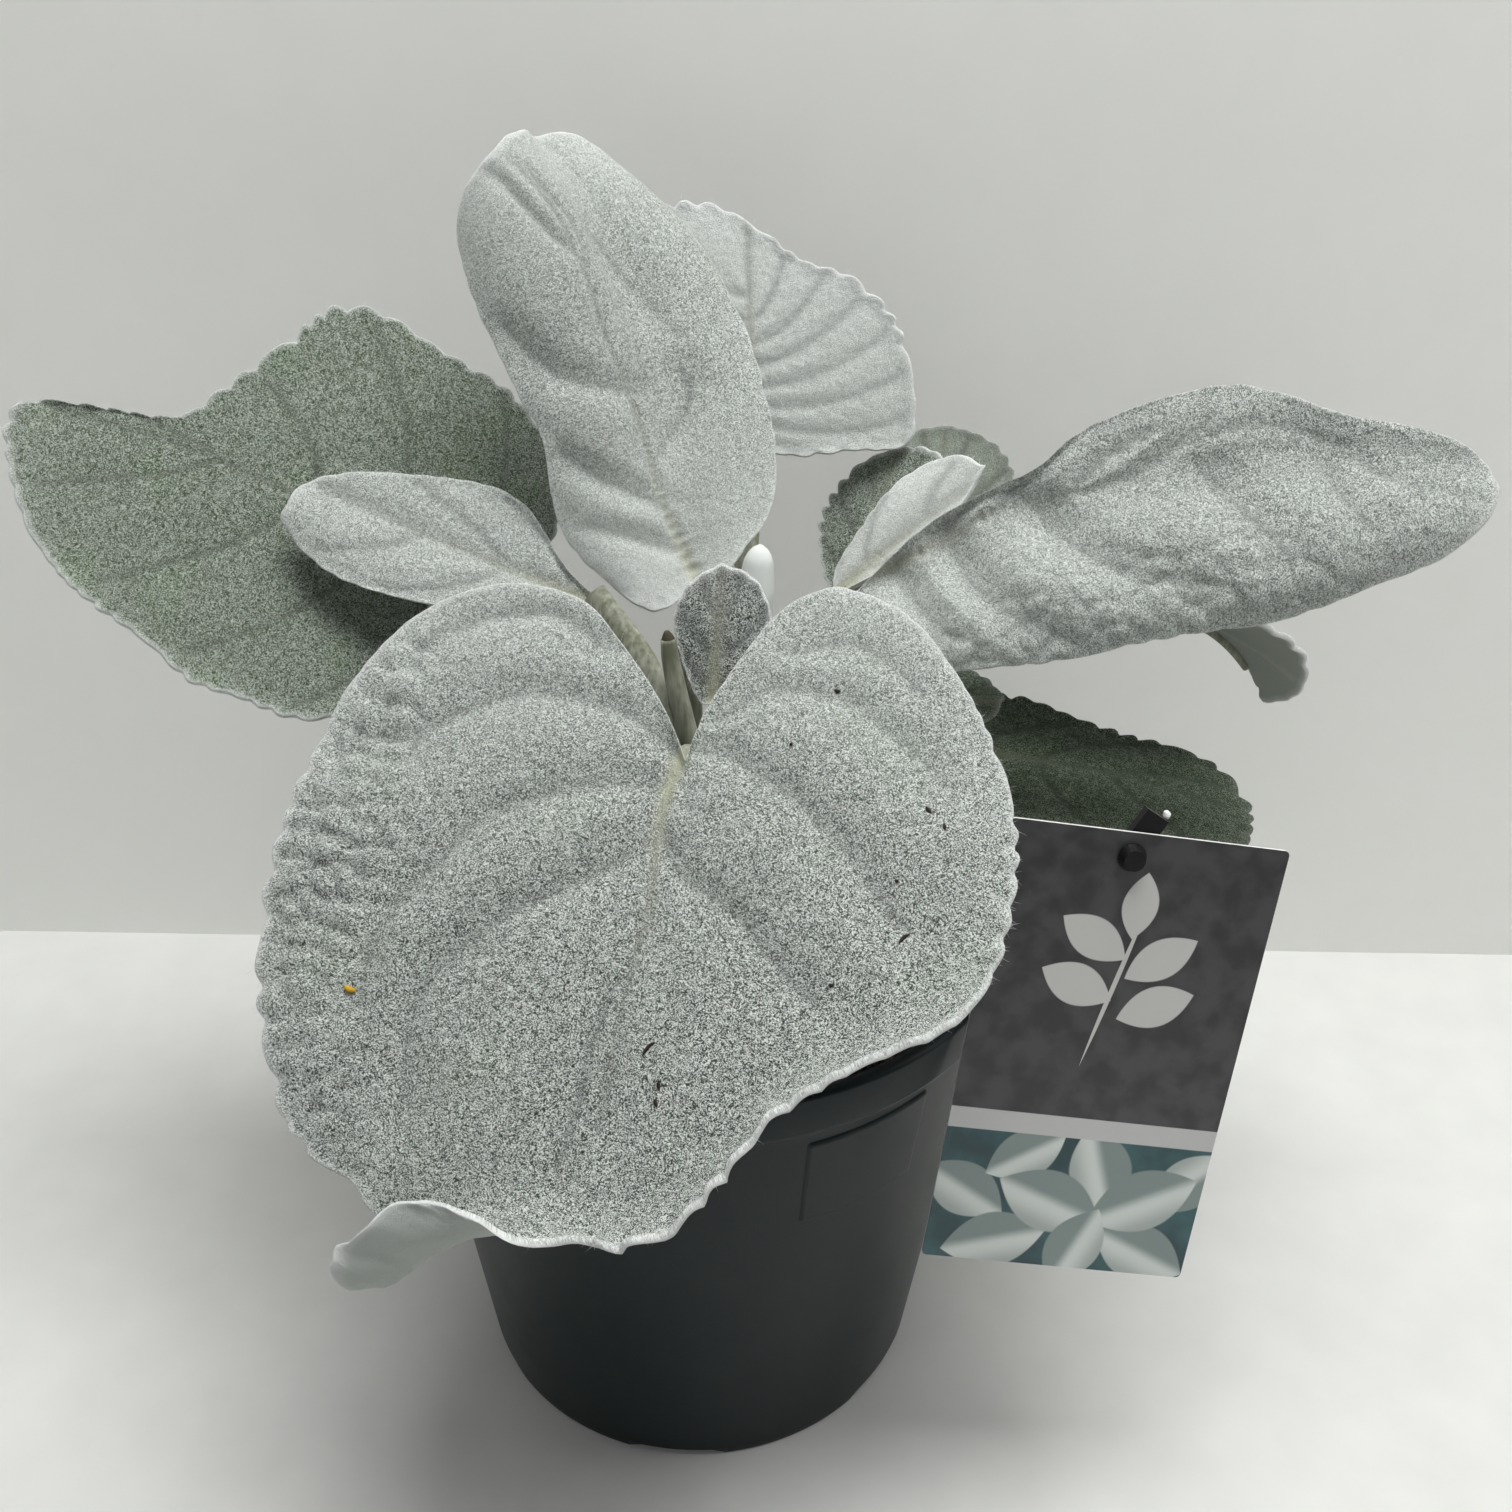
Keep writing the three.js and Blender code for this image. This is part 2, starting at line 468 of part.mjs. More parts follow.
// The leaf's own form: flat place to place in the pot's frame, z measured from mid thickness.
function leafForm(leaf) {
  const spine = spineOf(leaf);
  const rightAt = outlineOf(leaf.right);
  const leftAt = outlineOf(leaf.left);
  const half = Math.max(...leaf.right.map((p) => Math.abs(p[0])), ...leaf.left.map((p) => Math.abs(p[0])));
  const centreY = BLADE_CENTRE * leaf.length;

  // Margin place at u from -1 (base, left side) through 0 (tip) to 1 (base, right side).
  const margin = (u) => {
    const [x, y] = u >= 0 ? rightAt(1 - u) : leftAt(1 + u);
    const wave = Math.abs(Math.cos((Math.PI * leaf.segments * (u + 1)) / 4)) - 0.5;
    const bump = leaf.tooth * wave * smooth((1 - Math.abs(u)) / 0.15);
    const away = Math.hypot(x, y - centreY);
    return [x + (bump * x) / away, y + (bump * (y - centreY)) / away];
  };
  const flat = (r, u) => {
    const [x, y] = margin(u);
    return [x * r, centreY + (y - centreY) * r];
  };
  const swell = (x, y) => (leaf.swells ?? []).reduce(
    (sum, [sx, sy, size, height]) => sum + height * Math.exp(-((x - sx) ** 2 + (y - sy) ** 2) / size ** 2), 0);

  // Rolls what lies past the curl's line about an arc of its radius.
  const curled = (x, y, z) => {
    if (!leaf.curl) return [x, y, z];
    const { at: [cx, cy], facing, radius: R, rows } = leaf.curl;
    const nx = Math.sin(radians(facing));
    const ny = Math.cos(radians(facing));
    const run = (y - cy) * nx - (x - cx) * ny;
    const t = (x - cx) * nx + (y - cy) * ny - between(rows, 1, run);
    if (t <= 0) return [x, y, z];
    const phi = Math.min(t / R, radians(between(rows, 2, run)));
    const rest = t - phi * R;
    const reach = (R - z) * Math.sin(phi) + rest * Math.cos(phi);
    const height = R - (R - z) * Math.cos(phi) + rest * Math.sin(phi);
    return [x + (reach - t) * nx, y + (reach - t) * ny, height];
  };

  // Bends the cross-section and carries it along the midrib.
  const placed = (x, y, z) => {
    const s = y / leaf.length;
    const inside = Math.min(1, Math.max(0, s));
    const width = half * Math.sqrt(Math.max(0.08, 1 - ((inside - 0.45) / 0.58) ** 2));
    const tau = Math.abs(x) / width;
    const fold = three(leaf.fold, inside);
    const turn = three(leaf.turn, inside);
    const bend = (q) => radians(fold * smooth(q / FOLD_SHARE) + turn * q ** leaf.power);
    let cos = 0;
    let sin = 0;
    for (let i = 0; i < BEND_STEPS; i++) {
      const angle = bend((tau * (i + 0.5)) / BEND_STEPS);
      cos += Math.cos(angle) / BEND_STEPS;
      sin += Math.sin(angle) / BEND_STEPS;
    }
    const end = bend(tau);
    const across = (Math.abs(x) * cos - z * Math.sin(end)) * (x < 0 ? -1 : 1);
    const height = Math.abs(x) * sin + z * Math.cos(end);
    const { S, N } = leafFrame(leaf, s);
    return spine(s).addScaledVector(S, across).addScaledVector(N, height);
  };
  const at = (x, y, offset) => placed(...curled(x, y, swell(x, y) + offset)).toArray();
  return { flat, at, centre: [0, centreY] };
}

// The blade: a fan of rings about its centre, split alike on both faces, with a closed margin.
function bladeSolid(leaf, form) {
  const n = leaf.segments;
  const counts = [n, ...leaf.rings.map((r) => (r >= 0.6 ? n / 2 : n / 4))];
  const radii = [1, ...leaf.rings];
  const flats = [form.centre];
  const first = [];
  radii.forEach((r, ring) => {
    first.push(flats.length);
    for (let j = 0; j < counts[ring]; j++) flats.push(form.flat(r, -1 + (2 * j) / counts[ring]));
  });
  const at = (ring, j) => first[ring] + (j % counts[ring]);
  const face = [];
  for (let ring = 0; ring + 1 < radii.length; ring++) {
    for (let j = 0; j < counts[ring + 1]; j++) {
      const inner = at(ring + 1, j);
      const innerNext = at(ring + 1, j + 1);
      if (counts[ring] === counts[ring + 1]) {
        face.push([inner, at(ring, j), at(ring, j + 1)], [inner, at(ring, j + 1), innerNext]);
      } else {
        const middle = at(ring, 2 * j + 1);
        face.push([inner, at(ring, 2 * j), middle], [inner, middle, innerNext]);
        face.push([innerNext, middle, at(ring, 2 * j + 2)]);
      }
    }
  }
  const last = radii.length - 1;
  for (let j = 0; j < counts[last]; j++) face.push([0, at(last, j), at(last, j + 1)]);
  const above = flats.map(([x, y]) => form.at(x, y, BLADE_THICKNESS / 2));
  const below = flats.map(([x, y]) => form.at(x, y, -BLADE_THICKNESS / 2));
  const shift = flats.length;
  const triangles = [];
  for (const [a, b, c] of face) {
    triangles.push([a, b, c], [a + shift, c + shift, b + shift]);
  }
  for (let j = 0; j < n; j++) {
    const a = at(0, j);
    const b = at(0, j + 1);
    triangles.push([a, b + shift, b], [a, a + shift, b + shift]);
  }
  return solidOf(closedGeometry([...above, ...below], triangles));
}

// A closed tube through the points, with a radius at each.
function taperedTube(points, radii, sides) {
  const path = points.map((p) => new THREE.Vector3(...p));
  const last = path.length - 1;
  const along = path.map((p, i) => path[Math.min(last, i + 1)].clone()
    .sub(path[Math.max(0, i - 1)]).normalize());
  let side = new THREE.Vector3(1, 0, 0);
  if (Math.abs(along[0].x) > 0.8) side = new THREE.Vector3(0, 1, 0);
  const places = [];
  path.forEach((p, i) => {
    side = side.clone().addScaledVector(along[i], -side.dot(along[i])).normalize();
    const other = new THREE.Vector3().crossVectors(along[i], side);
    for (let j = 0; j < sides; j++) {
      const angle = (2 * Math.PI * j) / sides;
      places.push(p.clone().addScaledVector(side, radii[i] * Math.cos(angle))
        .addScaledVector(other, radii[i] * Math.sin(angle)).toArray());
    }
  });
  const triangles = [];
  for (let i = 0; i < last; i++) {
    for (let j = 0; j < sides; j++) {
      const a = i * sides + j;
      const b = i * sides + ((j + 1) % sides);
      triangles.push([a, b, b + sides], [a, b + sides, a + sides]);
    }
  }
  for (let j = 1; j + 1 < sides; j++) {
    triangles.push([0, j + 1, j]);
    const top = last * sides;
    triangles.push([top, top + j, top + j + 1]);
  }
  return solidOf(closedGeometry(places, triangles));
}

// The stalk runs from the stem to the blade's base and on beneath the blade as the midrib.
function stalkSolid(leaf, form) {
  const radius = leaf.stalkRadius;
  const count = leaf.stalk.length;
  const tipY = leaf.right[leaf.right.length - 1][1];
  const points = [...leaf.stalk];
  const radii = leaf.stalk.map((_, i) => radius * (1.12 - (0.2 * i) / count));
  for (const share of RIDGE_SHARES) {
    const r = RIDGE_TIP_RADIUS + (radius * 0.85 - RIDGE_TIP_RADIUS) * (1 - share) ** 1.3;
    points.push(form.at(0, share * tipY, -BLADE_THICKNESS / 2 - 0.25 * r));
    radii.push(r);
  }
  return taperedTube(points, radii, STALK_SIDES);
}

function buildLeaf(leaf) {
  const full = { rings: COARSE_RINGS, ...leaf };
  const form = leafForm(full);
  const clear = new THREE.CylinderGeometry(STEM_RADIUS + GAP, STEM_RADIUS + GAP, STEM_TOP + GAP - STEM_FOOT, 20);
  clear.rotateX(Math.PI / 2).translate(0, 0, (STEM_TOP + GAP + STEM_FOOT) / 2);
  return bladeSolid(full, form).add(stalkSolid(full, form)).subtract(solidOf(clear));
}

// Label card: a thin plate with a hole near its top, leaning on the pot's rim.
function cardFrame() {
  const frame = new THREE.Object3D();
  frame.rotation.order = "ZXY";
  frame.rotation.set(radians(CARD_LEAN), radians(-CARD_ROLL), radians(CARD_YAW));
  frame.position.set(...CARD_TOP_LEFT);
  frame.updateMatrix();
  return frame.matrix;
}

// A place on the card, in the card's own coordinates.
function cardPoint(x, y, z) {
  return new THREE.Vector3(x, y, z).applyMatrix4(cardFrame());
}

function buildCard() {
  const c = CARD_CORNER;
  const w = CARD_WIDTH;
  const h = CARD_HEIGHT;
  const outline = new THREE.Shape();
  outline.moveTo(0, -c).quadraticCurveTo(0, 0, c, 0).lineTo(w - c, 0).quadraticCurveTo(w, 0, w, -c);
  outline.lineTo(w, c - h).quadraticCurveTo(w, -h, w - c, -h).lineTo(c, -h);
  outline.quadraticCurveTo(0, -h, 0, c - h);
  const plate = new THREE.ExtrudeGeometry(outline, {
    depth: CARD_THICKNESS,
    bevelEnabled: false,
    curveSegments: 8,
  });
  plate.rotateX(Math.PI / 2).applyMatrix4(cardFrame());
  const hole = new THREE.CylinderGeometry(CARD_HOLE_RADIUS, CARD_HOLE_RADIUS, 10, 24)
    .translate(CARD_HOLE[0], 0, CARD_HOLE[1]).applyMatrix4(cardFrame());
  return geometryOf(solidOf(plate).subtract(solidOf(hole)));
}

// A bar of rectangular section between two points, its width square to the given direction.
function bar(from, to, width, thickness, up) {
  const a = new THREE.Vector3(...from);
  const b = new THREE.Vector3(...to);
  const z = b.clone().sub(a);
  const length = z.length();
  z.normalize();
  const y = new THREE.Vector3(...up).addScaledVector(z, -z.dot(new THREE.Vector3(...up))).normalize();
  const x = new THREE.Vector3().crossVectors(y, z);
  const box = new THREE.BoxGeometry(width, thickness, length).translate(0, 0, length / 2);
  return solidOf(box.applyMatrix4(new THREE.Matrix4().makeBasis(x, y, z).setPosition(a)));
}

// Clip: a hook over the rim, an arm to the back of the card, a stud through its hole and a head.
function buildClip() {
  const angle = radians(CLIP_AZIMUTH);
  const out = [Math.cos(angle), Math.sin(angle)];
  const onRim = (radius, z) => [radius * out[0], radius * out[1], z];
  const outward = [out[0], out[1], 0];
  const upward = [0, 0, 1];
  const half = CLIP_THICKNESS / 2;
  const outer = POT_RIM_RADIUS + GAP + 0.1 + half;
  const inner = POT_RIM_RADIUS - 6.2 - half;
  const bridge = POT_HEIGHT + GAP + half;
  let clip = bar(onRim(outer, bridge + half), onRim(outer, bridge - CLIP_LEG), CLIP_WIDTH, CLIP_THICKNESS, outward);
  clip = clip.add(bar(onRim(inner, bridge + half), onRim(inner, bridge - CLIP_LEG * 0.7), CLIP_WIDTH, CLIP_THICKNESS, outward));
  clip = clip.add(bar(onRim(inner - half, bridge), onRim(outer + half, bridge), CLIP_WIDTH, CLIP_THICKNESS, upward));
  const [hx, hz] = CARD_HOLE;
  const behind = cardPoint(hx, GAP + 1.6, hz).toArray();
  const normal = cardPoint(0, 1, 0).sub(cardPoint(0, 0, 0)).toArray();
  const toe = onRim(outer - 0.4, bridge);
  clip = clip.add(bar(toe, cardPoint(hx, GAP + 1.5, hz - 2).toArray(), 6, 2.4, normal));
  clip = clip.add(bar(behind, cardPoint(...CLIP_TIP).toArray(), 5, 2.2, normal));
  const stud = new THREE.CylinderGeometry(CLIP_STUD_RADIUS, CLIP_STUD_RADIUS, 5, 16)
    .translate(hx, 0, hz).applyMatrix4(cardFrame());
  const headY = -CARD_THICKNESS - GAP - CLIP_HEAD_HEIGHT / 2;
  const head = new THREE.CylinderGeometry(CLIP_HEAD_RADIUS, CLIP_HEAD_RADIUS - 0.7, CLIP_HEAD_HEIGHT, 24)
    .translate(hx, headY, hz).applyMatrix4(cardFrame());
  return clip.add(solidOf(stud)).add(solidOf(head));
}

addMesh("pot", geometryOf(buildPot()), "pot");
addMesh("soil", geometryOf(buildSoil()), "soil");
addMesh("stem", geometryOf(buildStem()), "stem");
for (const leaf of LEAVES) addMesh(leaf.name, geometryOf(buildLeaf(leaf)), leaf.kind);
addMesh(SHOOT.name, geometryOf(taperedTube(SHOOT.points, SHOOT.radii, 10)), "silver");
addMesh("label_clip", geometryOf(buildClip()), "clip");
addMesh("label_card", buildCard(), "card");

export default root;
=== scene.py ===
"""Looks of a potted silver-leaved senecio, laid out as an add-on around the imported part."""

import math

import bpy
import numpy as np
from bpy.props import FloatProperty, FloatVectorProperty, PointerProperty
from mathutils import Matrix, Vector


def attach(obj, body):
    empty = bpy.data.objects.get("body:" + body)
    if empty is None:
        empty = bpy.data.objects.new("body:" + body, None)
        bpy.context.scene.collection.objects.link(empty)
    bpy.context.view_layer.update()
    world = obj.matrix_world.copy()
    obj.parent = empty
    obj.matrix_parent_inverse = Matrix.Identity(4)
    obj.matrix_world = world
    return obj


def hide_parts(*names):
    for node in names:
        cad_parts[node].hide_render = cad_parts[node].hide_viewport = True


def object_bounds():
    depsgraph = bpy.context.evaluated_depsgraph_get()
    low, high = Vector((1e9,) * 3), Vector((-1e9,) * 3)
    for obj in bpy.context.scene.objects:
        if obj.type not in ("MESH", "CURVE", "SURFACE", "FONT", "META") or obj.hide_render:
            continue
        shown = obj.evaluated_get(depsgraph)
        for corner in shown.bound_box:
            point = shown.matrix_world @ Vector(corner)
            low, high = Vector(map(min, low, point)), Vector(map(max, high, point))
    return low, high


bl_info = {
    "name": "Potted Senecio",
    "version": (1, 0, 0),
    "blender": (4, 5, 0),
    "location": "View3D > Sidebar > Senecio",
    "description": "Makes the leaves, pot, soil, label and stage of a potted senecio",
    "category": "Object",
}

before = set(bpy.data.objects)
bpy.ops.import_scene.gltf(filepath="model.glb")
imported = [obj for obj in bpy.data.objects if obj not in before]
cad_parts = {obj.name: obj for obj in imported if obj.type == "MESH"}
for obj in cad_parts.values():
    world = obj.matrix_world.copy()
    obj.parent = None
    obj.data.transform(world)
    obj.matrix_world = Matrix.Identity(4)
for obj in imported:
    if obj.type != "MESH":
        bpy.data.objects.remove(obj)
CAD_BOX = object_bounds()
MM = 0.001

# Pot, soil and stem, in millimetres and degrees.
POT_HEIGHT = 124.4
POT_RIM_RADIUS = 70
POT_BASE_RADIUS = 53.7
POT_WALL = 1.6
POT_FLOOR = 3.6
POT_CORNER = 0.9
RIM_BAND_HEIGHT = 10
RIM_STEP = 1.5
RIM_TOP_WIDTH = 2.6
FOOT_NOTCHES = 6
FOOT_NOTCH_WIDTH = 22
FOOT_NOTCH_DEPTH = 13
FOOT_NOTCH_HEIGHT = 2.2
FOOT_NOTCH_PHASE = -94
DRAIN_HOLE_RADIUS = 4
DRAIN_HOLE_PITCH_RADIUS = 44
PAD_STEP = 0.5
PAD_SUNK = 0.5
PAD_BACK = 0.9
PAD_LOW = 84
PAD_HIGH = 110
PAD_FROM = -70
PAD_TO = -44
SOIL_LEVEL = 110
SOIL_MOUND = 3
SOIL_MOUND_RADIUS = 64
SOIL_EDGE_DROP = 1.5
SOIL_GAP = 0.9
SOIL_FOOT_GAP = 0.6
SOIL_FOOT = POT_FLOOR + 0.3
CRUMBS = 900
STEM_RADIUS = 6
STEM_FOOT = 84
STEM_TOP = 150
STEM_DOME = 3

# Label card, in millimetres and degrees: its top left corner and its turns in the frame, and then
# measures on the card's own axes from that corner.
CARD_TOP_LEFT = (60, -35, 167)
CARD_YAW = 3.9
CARD_LEAN = -14.2
CARD_ROLL = -8.5
TORN_TIP = (30.3, 1.9, 2.9)
BAND_TOP = 60.6
BAND_FOOT = 65.2
CARD_FACE = -0.7

# Leaf shapes on the card: middle, half length, half width and turn in radians.
SPRIG_STALK = (27, 31, 19, 0.5, 1.75)
SPRIG_LEAVES = ((21, 22, 8, 4.2, 0.5), (35, 25, 8, 4.2, 2.5), (19.5, 32, 8, 4.4, 0.35),
                (36, 35, 8, 4.4, 2.7), (28.5, 14.5, 7, 3.6, 1.6))
PICTURE_LEAVES = ((6, 79, 10, 6, 0.5), (17, 70, 9, 5.5, -0.6), (52, 73, 10, 6, 2.4),
                  (33, 72, 11, 6.5, 1.2), (14, 90, 11, 6.5, -0.3), (45, 90, 11, 6.5, 0.4),
                  (43, 78, 12, 7, -0.5), (24, 80, 12, 7, 0.35), (31, 90, 10, 6, -1.2))

# Camera, with its place in millimetres, its turns in degrees and its lens in the picture's pixels.
CAMERA_PLACE = (12.2, -273.5, 321.7)
CAMERA_DOWN = 30.85
CAMERA_ROLL = 0.92
FOCAL_PIXELS = 1514
PHOTO_PIXELS = 1512
SENSOR = 36

# Bits on the front leaf: flat place, direction and length in millimetres.
DARK_BITS = ((28, -15, 0.9, 0.2, 1.3), (46, 9, 0.6, 0.8, 1.6), (49, 12, 0.2, 1, 1.2),
             (43, 32, -0.7, 0.7, 2.4), (41, 22, 0.5, 0.5, 1), (0, 55, -0.6, 0.8, 3.2),
             (3, 61, 0.1, 1, 1.6), (3, 64, 0.3, 1, 1.4), (31, 41, 1, 0.1, 0.9), (20, -3, 0.4, 0.6, 0.8))
POLLEN_BIT = (-57, 50, 1, 0.3, 1.6)

# Colours, as linear red, green and blue.
DOWN_WHITE = (0.9, 0.92, 0.9)
RIB_YELLOW = (0.55, 0.57, 0.4)
FLOOR_COLOUR = (0.65, 0.655, 0.632)
WALL_COLOUR = (0.9, 0.905, 0.865)

# Felts by kind: hair and skin colours, how far the hairs cover, the skin's green tint and how far it
# spreads, and the white rim's strength.
SILVER_FELT = dict(cover=0.1, tint=(0.05, 0.085, 0.035), patches=0.6, white_rim=0.6)
GREY_FELT = dict(hair=(0.49, 0.535, 0.47), skin=(0.05, 0.08, 0.04), cover=-0.02, tint=(0.045, 0.1, 0.02),
                 patches=1.0, white_rim=0.7)
GREEN_FELT = dict(hair=(0.3, 0.34, 0.27), skin=(0.028, 0.055, 0.018), cover=-0.3,
                  tint=(0.025, 0.065, 0.01), patches=0.6, white_rim=0.15)

# Lights: place, aim and size in metres, share of the main light's power, and colour.
LIGHTS = dict(
    sky=((0.12, 0.06, 1.15), (0, 0, 0.1), 0.7, 1, (1, 1, 1)),
    window=((1.2, 0.1, 0.8), (0, 0, 0.12), 0.8, 0.2, (1, 0.99, 0.97)),
    room=((-0.3, -1.3, 0.7), (0, 0, 0.05), 1.2, 0.1, (1, 1, 1)))
ROOM_LIGHT = 0.16

# Leaves, in millimetres and in shares of the blade.
BLADE_CENTRE = 0.28
FOLD_SHARE = 0.15
BEND_STEPS = 12
SPINE_STEPS = 240
OUTLINE_STEPS = 1200
VEIN_STEPS = 50
MIDRIB_STEPS = 60
MIDRIB_WIDTH = 1.7
LATERAL_WIDTH = 1.5
MIDRIB_END = 0.86
MIDRIB_TIP_RADIUS = 0.8
STALK_FULLNESS = 1.12
STALK_TAPER = 0.2
HALF_THICKNESS = 0.55
RIM_FULLNESS = 0.25
RIM_WIDTH = 2.2
EDGE_RADIUS = 0.8
VEIN_RISE_BELOW = 0.7
FIELD_WIDTH = 7.5
BLISTER_SIZE = 6.2
PEBBLE_SIZE = 3.3
SWELL_SIZE = 14
SWELL_HEIGHT = 0.9
TOOTH_DRIFT = 1.5
HAIRS_PER_MM = 2.2
HAIR_RADIUS = 0.035
HAIR_SPREAD = 0.55

# Grid of a blade: least and most columns and rings, and millimetres to one unit of its flat places.
COLUMN_LIMITS = (120, 560)
RING_LIMITS = (18, 60)
FLAT_UNIT = 100

USUAL_LEAF = dict(tilt=0, fold=0, turn=0, power=1.6, tooth=1, laterals=4, groove=0.6, quilt=0.5,
                  blister=0.3, pebble=0.1, blistered=-200, toothed=-60, wool=0, stalk_radius=2.6,
                  grooves=(), curl=None)


def leaf_row(**measures):
    """One leaf's measures, with the usual ones where its row names none.

    Azimuth and elevation of the midrib, tilt, fold and turn are in degrees and, like wool, one
    number or three, for the base, the middle and the tip. right and left are the halves of the flat
    outline; groove, quilt, blister, pebble and tooth are heights. Blisters lie left of the place
    named blistered, teeth past the one named toothed."""
    return {**USUAL_LEAF, **measures}


